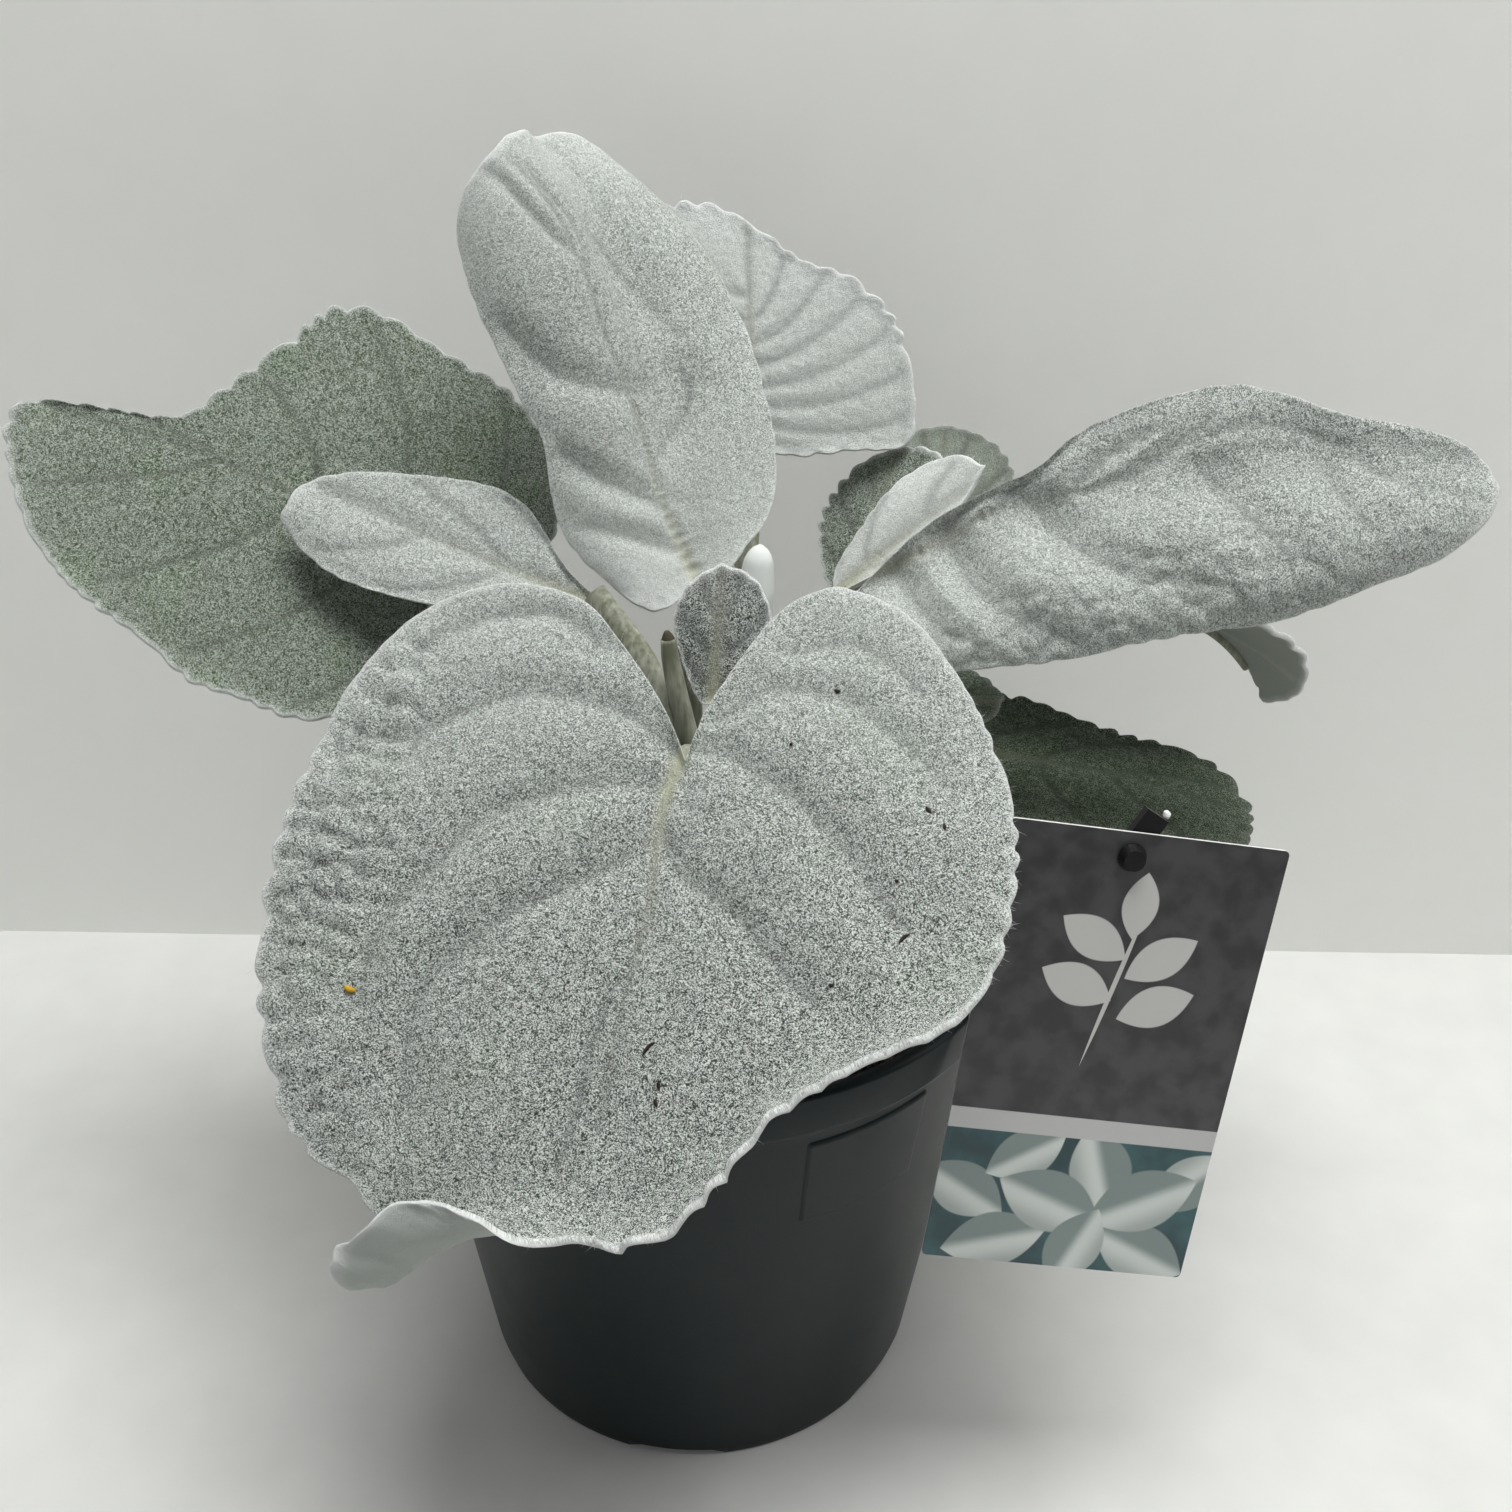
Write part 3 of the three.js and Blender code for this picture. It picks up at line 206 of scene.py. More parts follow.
# Wool sets how white each leaf is: partly its own thicker hair and partly painted light, whiter on leaves
# turned to the light and dimmer on the left broad leaf where it lies in shade.
LEAVES = [
    leaf_row(
        name="leaf_front", kind="silver", base=(-1, -28, 174), length=95, azimuth=(-4, -8, -12),
        elevation=(-36, -40, -46), tilt=3, fold=4, turn=-8, tooth=1.2, teeth=64, groove=0.7, quilt=1.6,
        blister=1.4, pebble=0.18, blistered=-46, toothed=-18, wool=(0.06, 0, 0.02),
        stalk=((0, -8.2, 138), (-0.5, -14, 160), (-1, -22, 171)),
        right=((3, -10), (9, -21), (16, -31), (24, -36), (31, -36), (42, -30), (51, -18), (57, -6),
            (61, 7), (62, 19), (61, 28), (59, 37), (55, 45), (50, 51), (43, 55), (35, 60), (26, 66),
            (20, 76), (14, 85), (8, 89), (2, 92)),
        left=((-6, -12), (-15, -25), (-23, -34), (-36, -38), (-48, -36), (-59, -29), (-68, -17),
            (-73, -4), (-76, 12), (-77, 28), (-76, 44), (-73, 58), (-66, 75), (-61, 80), (-56, 84),
            (-51, 86), (-45, 90), (-42, 98), (-40, 107), (-34, 114), (-29, 117), (-24, 116), (-20, 112),
            (-17, 107), (-14, 101), (-12, 95), (-9, 92), (-4, 90), (2, 92)),
        midrib=((-1, -1), (-3, 6), (-4, 15), (-4, 30), (-6, 47), (-7, 70)),
        grooves=((2.6, 1.5, ((-1, -1), (-8, -7), (-15, -11), (-23, -13), (-31, -14), (-39, -12),
            (-46, -9), (-56, -5), (-69, -3))), (2, 0.9, ((-46, -9), (-51, -6), (-54, -1))), (2.6, 1.5,
            ((-4, 5), (-16, 5), (-23, 7), (-31, 10), (-39, 15), (-44, 22), (-49, 28), (-53, 35),
            (-55, 44), (-55, 52))), (3, 1.8, ((-5, 16), (-12, 21), (-17, 24), (-23, 28), (-29, 31),
            (-35, 37), (-41, 43), (-44, 49), (-45, 55), (-44, 62), (-42, 70))), (2.4, 1.2, ((-19, -25),
            (-27, -31), (-35, -32), (-42, -31), (-47, -29), (-52, -27), (-55, -23))), (2, 0.6, ((-9, 45),
            (-11, 58), (-11, 63), (-12, 71), (-13, 77))), (2.6, 1.5, ((1, -3), (8, -2), (13, 1), (20, 6),
            (27, 12), (33, 18), (39, 26), (43, 30))), (2.8, 1.6, ((-4, 15), (-2, 17), (1, 22), (7, 26),
            (13, 30), (18, 35), (23, 40), (28, 44))), (2.4, 1, ((5, -9), (14, -15), (22, -15), (31, -13),
            (37, -8), (43, -3), (49, 3))), (2, 0.7, ((19, -23), (29, -25), (38, -21), (44, -15)))),
        curl=dict(at=(-25, 80), facing=24.6, radius=9, rows=((-100, -11, 0), (-94, -8, 20),
            (-87, -6, 50), (-72, -6, 65), (-63, -5, 70), (-51, -2, 70), (-40, 5, 70), (-31, 10, 72),
            (-22, 10, 76), (-15, 8, 80), (-10, 6, 90), (-6, 4, 110), (-2, 2, 140), (2, 1.5, 160),
            (6, 2, 165), (10, 3, 165), (18, 6, 165), (22, 5, 165), (30, 2, 165)))),
    leaf_row(
        name="leaf_left_broad", kind="green_grey", base=(-48, 24, 182), length=105,
        azimuth=(-96, -94, -86), elevation=(34, 24, 10), tilt=(-36, -40, -46), tooth=1.2, teeth=56,
        laterals=5, groove=0.4, blister=0.5, pebble=0.15, wool=(0.02, -0.06, 0.04),
        stalk=((-7.2, 3.8, 130), (-26, 13, 156), (-42, 21, 176)),
        right=((3, -5), (20, -2), (34, 7), (43, 18), (45, 32), (46, 44), (42, 58), (39, 70), (35, 81),
            (27, 92), (17, 99), (6, 103), (0, 101)),
        left=((-16, -6), (-32, -3), (-42, 7), (-47, 18), (-47, 27), (-47, 36), (-48, 43), (-47, 49),
            (-45, 53), (-41, 56), (-31, 59), (-22, 63), (-13, 67), (-7, 70.5), (-4.2, 76), (-2.6, 86),
            (-1.4, 96), (0, 101))),
    leaf_row(
        name="leaf_left_young", kind="silver", base=(-18, 11, 187), length=71, azimuth=(-92, -99, -104),
        elevation=(20, 20, 18), tilt=-40, fold=14, turn=-40, tooth=0.3, teeth=24, groove=0.8,
        blister=0.5, wool=0.2, stalk=((-7.2, 3.4, 146), (-10, 5, 160), (-14, 8, 178)), stalk_radius=3.2,
        right=((3, 4), (7, 13), (12, 26), (15, 39), (16, 52), (14, 61), (10, 68), (8, 69)),
        left=((-1, 4), (-3, 9), (-6, 14), (-11, 20), (-15, 27), (-15, 35), (-11, 47), (-6, 59), (0, 67),
            (8, 69))),
    leaf_row(
        name="leaf_upright", kind="silver", base=(-2, 16, 189), length=108, azimuth=(-166, -142, -92),
        elevation=(62, 57, 44), fold=32, turn=-105, power=1.4, tooth=0.3, teeth=32, groove=1.5,
        quilt=0.6, blister=0.5, pebble=0.06, wool=(0.46, 0.14, 0.42), stalk=((-1.2, 8, 146),
        (-2, 10, 160), (-2.5, 14, 180)),
        right=((8, -4), (14, -1), (19, 4), (26, 13), (28, 22), (28, 35), (31, 44), (34, 56), (37, 72),
            (37, 86), (35, 94), (27, 99), (14, 101)),
        left=((-7, 2), (-13, 8), (-18, 13), (-21, 19), (-23, 29), (-23, 37), (-24, 49), (-24, 60),
            (-26, 70), (-26, 79), (-22, 87), (-15, 93), (-7, 97), (14, 101)),
        midrib=((-2, 0), (4, 21), (6, 36), (10, 53), (11, 68), (13, 82), (17, 96)),
        grooves=((3, 1.7, ((3, 18), (14, 23), (21, 28), (25, 32))), (2.6, 1.2, ((-1, 8), (6, 10),
            (15, 13), (22, 16))), (3.5, 1.7, ((5, 42), (19, 46), (26, 52), (32, 63))), (6, 1.5, ((1, 75),
            (-3, 63), (-8, 52))), (6, 1.3, ((-6, 45), (-6, 39), (3, 29))), (1.5, 1.6, ((22, 100),
            (21, 94), (19, 84), (15, 76), (10, 70))), (1.5, 1.2, ((14, 92), (12, 86), (9, 80), (9, 72))))),
    leaf_row(
        name="leaf_right_long", kind="silver", base=(31, 8, 191), length=136, azimuth=(84, 90, 94),
        elevation=(32, 14, -14), tilt=44, fold=26, turn=-95, tooth=0.3, teeth=32, groove=1.2, quilt=0.8,
        blister=0.5, pebble=0.12, blistered=-4, wool=(0.28, 0.14, 0.12), stalk=((8, 1.4, 143),
        (17, 5, 162), (26, 7, 180)),
        right=((3, 7), (7, 19), (9, 32), (10, 43), (14, 52), (16, 62), (17, 71), (17, 81), (14, 89),
            (9, 100), (7, 111), (5, 121), (1, 128), (-5, 130)),
        left=((-17, 6), (-23, 13), (-27, 25), (-30, 37), (-31, 51), (-32, 65), (-33, 79), (-31, 92),
            (-26, 105), (-21, 117), (-13, 126), (-5, 130)),
        midrib=((3, 5), (3, 20), (5, 35), (3, 50), (4, 62), (8, 75), (8, 88), (2, 100), (-5, 110),
            (-7, 125)),
        grooves=((4, 2.2, ((4, 12), (0, 11), (-10, 14), (-18, 18))), (4.5, 2.8, ((7, 24), (3, 23),
            (-5, 24), (-12, 27), (-19, 31), (-25, 38))), (5, 2.8, ((6, 39), (3, 41), (-3, 44), (-12, 50),
            (-18, 58), (-23, 67))), (4.5, 1.6, ((2, 73), (-7, 78), (-14, 82), (-20, 85))), (3.5, 1,
            ((0, 97), (-8, 98), (-15, 102))), (2.4, 1.2, ((5, 50), (8, 55), (10, 61), (12, 66))),
            (2.4, 1.2, ((3, 59), (7, 68), (11, 76))), (2.4, 1, ((5, 34), (10, 42), (12, 48))), (2.4, 1,
            ((5, 24), (10, 32), (12, 38))))),
    leaf_row(
        name="leaf_back", kind="silver", base=(10, 62, 205), length=70, azimuth=-175,
        elevation=(70, 62, 50), teeth=40, laterals=9, wool=(0.4, 0.42, 0.45), stalk=((1.6, 8, 133),
        (7, 30, 160), (10, 54, 194)),
        right=((12, -1), (23, 3), (34, 12), (36, 26), (32, 37), (26, 45), (20, 52), (13, 54)),
        left=((-9, -3), (-23, -2), (-36, -1), (-38, 9), (-36, 20), (-32, 29), (-23, 37), (-12, 41),
            (-1, 49), (7, 53), (13, 54))),
    leaf_row(
        name="leaf_right_back", kind="green_grey", base=(34, 50, 172), length=44, azimuth=150,
        elevation=(60, 55, 45), teeth=24, stalk=((4.1, 7, 127), (16, 24, 146), (30, 45, 166)),
        right=((6, 1), (11, 9), (13, 17), (11, 25), (7, 32), (0, 37)),
        left=((-7, 1), (-18, 6), (-21, 16), (-19, 28), (-12, 36), (-7, 38), (0, 37))),
    leaf_row(
        name="leaf_right_far", kind="green", base=(56, 84, 166), length=60, azimuth=170,
        elevation=(60, 55, 45), teeth=24, quilt=0.4, blister=0.2, wool=0.35, stalk=((4.7, 6.7, 119),
        (28, 38, 132), (50, 75, 156)),
        right=((8, 3), (12, 16), (12, 26), (9, 33), (0, 36)),
        left=((-7, 2), (-17, 10), (-19, 21), (-16, 29), (-9, 34), (0, 36))),
    leaf_row(
        name="leaf_right_slim", kind="silver", base=(28, 16, 188), length=48, azimuth=(110, 105, 100),
        elevation=(40, 36, 30), tilt=40, fold=14, turn=-40, tooth=0.3, teeth=20, laterals=3, groove=0.7,
        quilt=0.3, blister=0.2, wool=0.42, stalk=((6.2, 5.2, 148), (14, 9, 164), (24, 14, 182)),
        stalk_radius=2,
        right=((4, 4), (7, 13), (10, 23), (10, 31), (7, 38), (3, 40), (2, 41)),
        left=((-2, 6), (-4, 15), (-4, 26), (-2, 34), (2, 41))),
    leaf_row(
        name="leaf_right_low", kind="green", base=(42, 22, 150), length=80, azimuth=(78, 84, 90),
        elevation=(2, -8, -22), tilt=10, teeth=40, laterals=5, quilt=0.6, blister=0.4,
        stalk=((7.8, 2.1, 120), (22, 11, 134), (36, 19, 146)),
        right=((8, -6), (16, 8), (19, 21), (20, 31), (16, 44), (14, 56), (15, 68), (12, 79), (3, 84),
            (-7, 83)),
        left=((-20, 5), (-33, 19), (-39, 34), (-37, 52), (-28, 67), (-17, 78), (-7, 83))),
    leaf_row(
        name="leaf_right_hanging", kind="green_grey", base=(60, 33.5, 179), length=88,
        azimuth=(95, 98, 104), elevation=(15, -19, -71), fold=(10, 20, 40), teeth=32,
        stalk=((6.6, 4.6, 134), (26, 17, 155), (48, 28, 173)),
        right=((5, -4), (13, -3), (20, 11), (23, 32), (22, 53), (17, 71), (9, 84), (0, 88)),
        left=((-5, -4), (-10, -3), (-14, 11), (-18, 32), (-20, 53), (-17, 71), (-9, 84), (0, 88))),
    leaf_row(
        name="leaf_right_small", kind="green", base=(38, 6, 169), length=26, azimuth=85,
        elevation=(8, 2, -4), tooth=0.4, teeth=16, laterals=3, quilt=0.3, blister=0.2,
        stalk=((8, -1.4, 127), (20, 3, 147), (33, 6, 164)), stalk_radius=1.8,
        right=((4, -3), (10, -2), (15, 5), (15, 14), (10, 22), (2, 26)),
        left=((-4, -3), (-10, -2), (-14, 5), (-13, 15), (-7, 23), (2, 26))),
    leaf_row(
        name="leaf_centre_small", kind="silver", base=(3, -3, 172), length=30, azimuth=(160, 170, 180),
        elevation=(75, 70, 62), fold=10, tooth=0.4, teeth=20, quilt=0.4, wool=(-0.1, -0.15, -0.05),
        stalk=((1.5, -2, 152.5), (2, -2.6, 160)), stalk_radius=1.8,
        right=((3, 1), (7, 9), (9, 18), (6, 25), (0, 29)),
        left=((-5, 4), (-10, 13), (-11, 19), (-7, 26), (0, 29))),
]


# Numbers on arrays.
def smooth(value):
    """3t2 - 2t3 with t held between 0 and 1."""
    t = np.clip(value, 0, 1)
    return t * t * (3 - 2 * t)


def quadratic(values, share):
    """The parabola through three values at shares 0, 0.5 and 1, or one value everywhere."""
    t = np.clip(share, -0.6, 1)
    a, b, c = np.broadcast_to(values, 3)
    return a + (4 * b - 3 * a - c) * t + (2 * a - 4 * b + 2 * c) * t * t


def unit(vectors):
    """The vectors at length 1."""
    return vectors / np.linalg.norm(vectors, axis=-1, keepdims=True)


def spline(points, count):
    """A Catmull-Rom curve through the points, count places evenly spaced by its parameter."""
    p = np.asarray(points, float)
    p = np.vstack([2 * p[0] - p[1], p, 2 * p[-1] - p[-2]])
    spans = len(p) - 3
    t = np.linspace(0, spans, count)
    i = np.minimum(t.astype(int), spans - 1)
    f = (t - i)[:, None]
    a, b, c, d = p[i], p[i + 1], p[i + 2], p[i + 3]
    square = (2 * a - 5 * b + 4 * c - d) * f**2
    return 0.5 * (2 * b + (c - a) * f + square + (3 * b - a - 3 * c + d) * f**3)


def parabola(start, middle, end, t):
    """The curve from start to end that heads for middle at first and comes from it at last."""
    return (1 - t) ** 2 * start + 2 * t * (1 - t) * middle + t**2 * end


def lattice(x, y, size, shift):
    """Column and row of each place's square in a lattice of that size, and how far in it lies."""
    u = x / size + shift[0]
    v = y / size + shift[1]
    i = np.floor(u).astype(int)
    j = np.floor(v).astype(int)
    return i, j, u - i, v - j


def lumps(x, y, size, seed):
    """Smooth noise from 0 to 1: random values on a square lattice, blended between its corners."""
    table = np.random.default_rng(seed).random((64, 64))
    i, j, fu, fv = lattice(x, y, size, (31.7, 17.3))
    fu = smooth(fu)
    fv = smooth(fv)
    low = table[i % 64, j % 64] * (1 - fu) + table[(i + 1) % 64, j % 64] * fu
    high = table[i % 64, (j + 1) % 64] * (1 - fu) + table[(i + 1) % 64, (j + 1) % 64] * fu
    return low * (1 - fv) + high * fv


def cobbles(x, y, size, seed):
    """Puffed cells about size across: 0 on the creases between them and 1 on their tops.

    Each lattice square holds one point at random, and the height grows with the difference of the
    distances to the nearest two points."""
    table = np.random.default_rng(seed).random((64, 64, 2))
    i, j, fu, fv = lattice(x, y, size, (29.3, 23.1))
    gaps = []
    for di in (-1, 0, 1):
        for dj in (-1, 0, 1):
            point = table[(i + di) % 64, (j + dj) % 64]
            gaps.append(np.hypot(di + point[..., 0] - fu, dj + point[..., 1] - fv))
    gaps = np.sort(np.stack(gaps), axis=0)
    return smooth((gaps[1] - gaps[0]) / 0.55)


def nearest(x, y, rows, blocks):
    """Distance from each place to the closest of the rows' points, and the depth of groove there.

    A groove's depth falls off from its line as the bell exp(-(distance / width)^2)."""
    dip = np.zeros(x.shape)
    near = np.full(x.shape, 1e9)
    for block in np.array_split(rows, blocks):
        gap = np.hypot(x[..., None] - block[:, 0], y[..., None] - block[:, 1])
        dip = np.maximum(dip, (block[:, 3] * np.exp(-((gap / block[:, 2]) ** 2))).max(-1))
        near = np.minimum(near, gap.min(-1))
    return near, dip


# Leaf form.
class LeafForm:
    """One leaf's blade as a function from its flat outline to its place in the frame."""

    def __init__(self, leaf):
        self.leaf = leaf
        self.length = leaf["length"]
        self.tip_y = leaf["right"][-1][1]
        self.right = self.outline(leaf["right"])
        self.left = self.outline(leaf["left"])
        self.around = self.right[3] + self.left[3]
        self.half = np.abs(np.array(leaf["right"] + leaf["left"])[:, 0]).max()
        self.centre_y = BLADE_CENTRE * self.length
        self.shares = np.linspace(-0.9, 1.1, SPINE_STEPS)
        along = self.axes(self.shares)[0]
        steps = (along[1:] + along[:-1]) / 2 * (self.shares[1] - self.shares[0]) * self.length
        spine = np.vstack([np.zeros(3), np.cumsum(steps, axis=0)])
        start = self.follow(spine, np.array([0.0]))[0]
        self.spine = spine - start + np.array(leaf["base"], float)
        self.veins = self.vein_lines()

    def follow(self, table, share):
        """The table's places at these shares of the midrib, blended between its rows."""
        return np.stack([np.interp(share, self.shares, table[:, k]) for k in range(3)], -1)

    @staticmethod
    def outline(points):
        """Half of the outline from the base round its lobe to the tip: share of its run, x, y, and
        its whole length."""
        curve = spline([(0, 0), *points], OUTLINE_STEPS)
        run = np.r_[0, np.cumsum(np.hypot(*np.diff(curve, axis=0).T))]
        return run / run[-1], curve[:, 0], curve[:, 1], run[-1]

    def axes(self, share):
        """T along the midrib from its azimuth and elevation, S to its right and N up, both tilted."""
        turns = (quadratic(self.leaf[key], share) for key in ("azimuth", "elevation", "tilt"))
        a, e, t = (np.radians(turn) for turn in turns)
        T = np.stack([np.sin(a) * np.cos(e), -np.cos(a) * np.cos(e), np.sin(e)], -1)
        S0 = np.stack([np.cos(a), np.sin(a), np.zeros_like(a)], -1)
        N0 = np.cross(T, S0)
        cos = np.cos(t)[..., None]
        sin = np.sin(t)[..., None]
        return T, S0 * cos + N0 * sin, N0 * cos - S0 * sin

    def margin(self, u):
        """Outline place at u, -1 at the base by the left side, 0 at the tip and 1 at the base again,
        and the teeth's wave there: |cos| of the way round, drifting and uneven by smooth noise."""
        back = 1 - np.abs(u)
        x, y = (np.where(u >= 0, np.interp(back, self.right[0], self.right[k]),
                         np.interp(back, self.left[0], self.left[k])) for k in (1, 2))
        drift = TOOTH_DRIFT * (lumps(x, y, 13, 6) - 0.5)
        wave = np.abs(np.cos(np.pi * (self.leaf["teeth"] * (u + 1) / 2 + drift))) - 0.5
        uneven = 0.12 + 1.35 * lumps(x, y, 9, 5)
        toothed = 0.12 + 0.88 * smooth((y - self.leaf["toothed"]) / 30)
        bump = self.leaf["tooth"] * wave * uneven * toothed
        away = np.hypot(x, y - self.centre_y)
        return x + bump * x / away, y + bump * (y - self.centre_y) / away, bump

    def flat(self, r, u):
        """Place in the blade, the centre plus r times the way from it to the margin at u, and the
        height by which the margin ruffles with its teeth."""
        x, y, bump = self.margin(u)
        return x * r, self.centre_y + (y - self.centre_y) * r, bump * smooth((r - 0.93) / 0.07)

    def vein_lines(self):
        """The grooves over the veins as rows of x, y, width and depth, close together.

        The midrib comes first. The leaf's own grooves follow or, where it names none, arches that
        leave the midrib and bend toward the tip as they near the margin."""
        straight = ((0, 0), (0, self.tip_y * 0.45), (0, self.tip_y * 0.93))
        midrib = spline(self.leaf.get("midrib", straight), MIDRIB_STEPS)
        fade = np.linspace(1, 0.3, MIDRIB_STEPS)
        rows = [np.c_[midrib, np.full(MIDRIB_STEPS, MIDRIB_WIDTH), self.leaf["groove"] * fade]]
        ends = np.sin(np.linspace(0.35, np.pi, VEIN_STEPS)) ** 0.5
        for width, depth, points in self.leaf["grooves"]:
            rows.append(np.c_[spline(points, VEIN_STEPS), np.full(VEIN_STEPS, width), depth * ends])
        if not self.leaf["grooves"]:
            shares = np.arange(self.leaf["laterals"]) / (self.leaf["laterals"] - 1)
            rows += [self.arch(side, share) for side in (self.left, self.right) for share in shares]
        return rows

    def arch(self, side, share):
        """One lateral: a parabola from the midrib to its place on the margin, bulging to the base."""
        run = 0.2 + 0.68 * share
        end = np.array([np.interp(run, side[0], side[1]), np.interp(run, side[0], side[2])])
        start = np.array([0, self.tip_y * (0.01 + 0.6 * share**1.4)])
        middle = (start + end) / 2 - np.array([0, 0.13 * self.tip_y])
        t = np.linspace(0, 0.93, VEIN_STEPS)[:, None]
        depth = self.leaf["groove"] * (0.8 - 0.6 * t[:, 0])
        return np.c_[parabola(start, middle, end, t), np.full(VEIN_STEPS, LATERAL_WIDTH), depth]

    def relief(self, x, y, r):
        """Height of the upper face, with the distances to the closest vein and to the midrib.

        The fields between veins are puffed, the veins lie in grooves, and blisters, pebbles and
        broad swells of smooth noise lie on top. All fade out toward the margin."""
        near, dip = nearest(x, y, np.vstack(self.veins), 12)
        beside = nearest(x, y, self.veins[0], 4)[0]
        inside = smooth((1 - r) / 0.12)
        free = smooth((1 - r) / 0.06)
        field = 1 - np.exp(-((near / FIELD_WIDTH) ** 2))
        height = (self.leaf["quilt"] * (field - 0.6) - dip) * inside
        warp = 2.5 * lumps(x, y, 17, 2)
        blistered = smooth((self.leaf["blistered"] - x) / 14) * (0.5 + lumps(x, y, 16, 4))
        outer = 0.12 + 0.88 * blistered
        blisters = cobbles(x + warp, y - warp, BLISTER_SIZE, 3) - 0.5
        pebbles = cobbles(x - warp, y + warp, PEBBLE_SIZE, 8) - 0.5
        height += self.leaf["blister"] * blisters * outer * free
        height += self.leaf["pebble"] * pebbles * free
        height += SWELL_HEIGHT * (lumps(x, y, SWELL_SIZE, 9) - 0.5) * free
        return height, near, beside

    def curled(self, x, y, z):
        """What lies past the curl's line is rolled about an arc of its radius."""
        curl = self.leaf["curl"]
        if curl is None:
            return x, y, z
        turn = math.radians(curl["facing"])
        nx, ny = math.sin(turn), math.cos(turn)
        rows = np.array(curl["rows"], float)
        dx = x - curl["at"][0]
        dy = y - curl["at"][1]
        run = dy * nx - dx * ny
        past = dx * nx + dy * ny - np.interp(run, rows[:, 0], rows[:, 1])
        on = past > 0
        past = np.maximum(past, 0)
        radius = curl["radius"]
        phi = np.minimum(past / radius, np.radians(np.interp(run, rows[:, 0], rows[:, 2])))
        rest = past - phi * radius
        reach = (radius - z) * np.sin(phi) + rest * np.cos(phi)
        height = radius - (radius - z) * np.cos(phi) + rest * np.sin(phi)
        moved = reach - past
        return np.where(on, x + moved * nx, x), np.where(on, y + moved * ny, y), np.where(on, height, z)

    def place(self, x, y, z):
        """The cross-section bends by a fold at the midrib and a turn toward the margin, both summed
        from the midrib outward, and is carried along the midrib's own curve."""
        x, y, z = self.curled(x, y, z)
        share = y / self.length
        inside = np.clip(share, 0, 1)
        width = self.half * np.sqrt(np.maximum(0.08, 1 - ((inside - 0.45) / 0.58) ** 2))
        tau = np.abs(x) / width
        fold = quadratic(self.leaf["fold"], inside)
        turn = quadratic(self.leaf["turn"], inside)
        power = self.leaf["power"]
        partway = tau[..., None] * (np.arange(BEND_STEPS) + 0.5) / BEND_STEPS
        bend = fold[..., None] * smooth(partway / FOLD_SHARE) + turn[..., None] * partway**power
        angles = np.radians(bend)
        end = np.radians(fold * smooth(tau / FOLD_SHARE) + turn * tau**power)
        across = np.abs(x) * np.cos(angles).mean(-1) - z * np.sin(end)
        across = np.where(x < 0, -across, across)
        height = np.abs(x) * np.sin(angles).mean(-1) + z * np.cos(end)
        _, S, N = self.axes(share)
        return self.follow(self.spine, share) + across[..., None] * S + height[..., None] * N

    def margin_place(self, u, r):
        """Places on the upper face at r of the way to the margin at each u."""
        x, y, ruffle = self.flat(r, u)
        height = self.relief(x, y, np.full(len(u), r))[0]
        return self.place(x, y, height + ruffle)


# Meshes.
def linked(name, data):
    """A new object of this name in the scene."""
    piece = bpy.data.objects.new(name, data)
    bpy.context.scene.collection.objects.link(piece)
    return piece


def object_from(name, points, faces, material, slot, uv=None, values=None):
    """A mesh object from points in millimetres and faces of three or four corners, shaded smooth.

    Points past the solids' box are moved back to its sides. uv holds one pair for each point, and
    values holds, by attribute name, one number for each point."""
    mesh = bpy.data.meshes.new(name)
    points = np.clip(np.asarray(points, float) * MM, *np.array(CAD_BOX))
    corners = np.concatenate([block.ravel() for block in faces])
    sizes = np.concatenate([np.full(len(block), block.shape[1]) for block in faces])
    mesh.vertices.add(len(points))
    mesh.vertices.foreach_set("co", points.ravel())
    mesh.loops.add(len(corners))
    mesh.loops.foreach_set("vertex_index", corners.astype(np.int32))
    mesh.polygons.add(len(sizes))
    mesh.polygons.foreach_set("loop_start", np.r_[0, np.cumsum(sizes)[:-1]].astype(np.int32))
    mesh.polygons.foreach_set("use_smooth", np.ones(len(sizes), bool))
    mesh.update(calc_edges=True)
    if uv is not None:
        layer = mesh.uv_layers.new(name="flat")
        layer.uv.foreach_set("vector", uv.astype(np.float32)[corners].ravel())
    for key, numbers in (values or {}).items():
        attribute = mesh.attributes.new(key, "FLOAT", "POINT")
        attribute.data.foreach_set("value", numbers.astype(np.float32))
    mesh.validate()
    mesh.materials.append(material)
    piece = linked(name, mesh)
    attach(piece, "root")
    return piece


def ring_faces(rows, columns, first=0):
    """Quads between rows of points that close on themselves, rows stacked one after the other."""
    i, j = np.meshgrid(np.arange(rows - 1), np.arange(columns), indexing="ij")
    a = first + i * columns + j
    b = first + i * columns + (j + 1) % columns
    return np.stack([a, b, b + columns, a + columns], -1).reshape(-1, 4)


def fan_faces(ring, centre):
    """Triangles from a closed ring of point numbers to its centre point."""
    return np.stack([ring, np.roll(ring, -1), np.full(len(ring), centre)], -1)


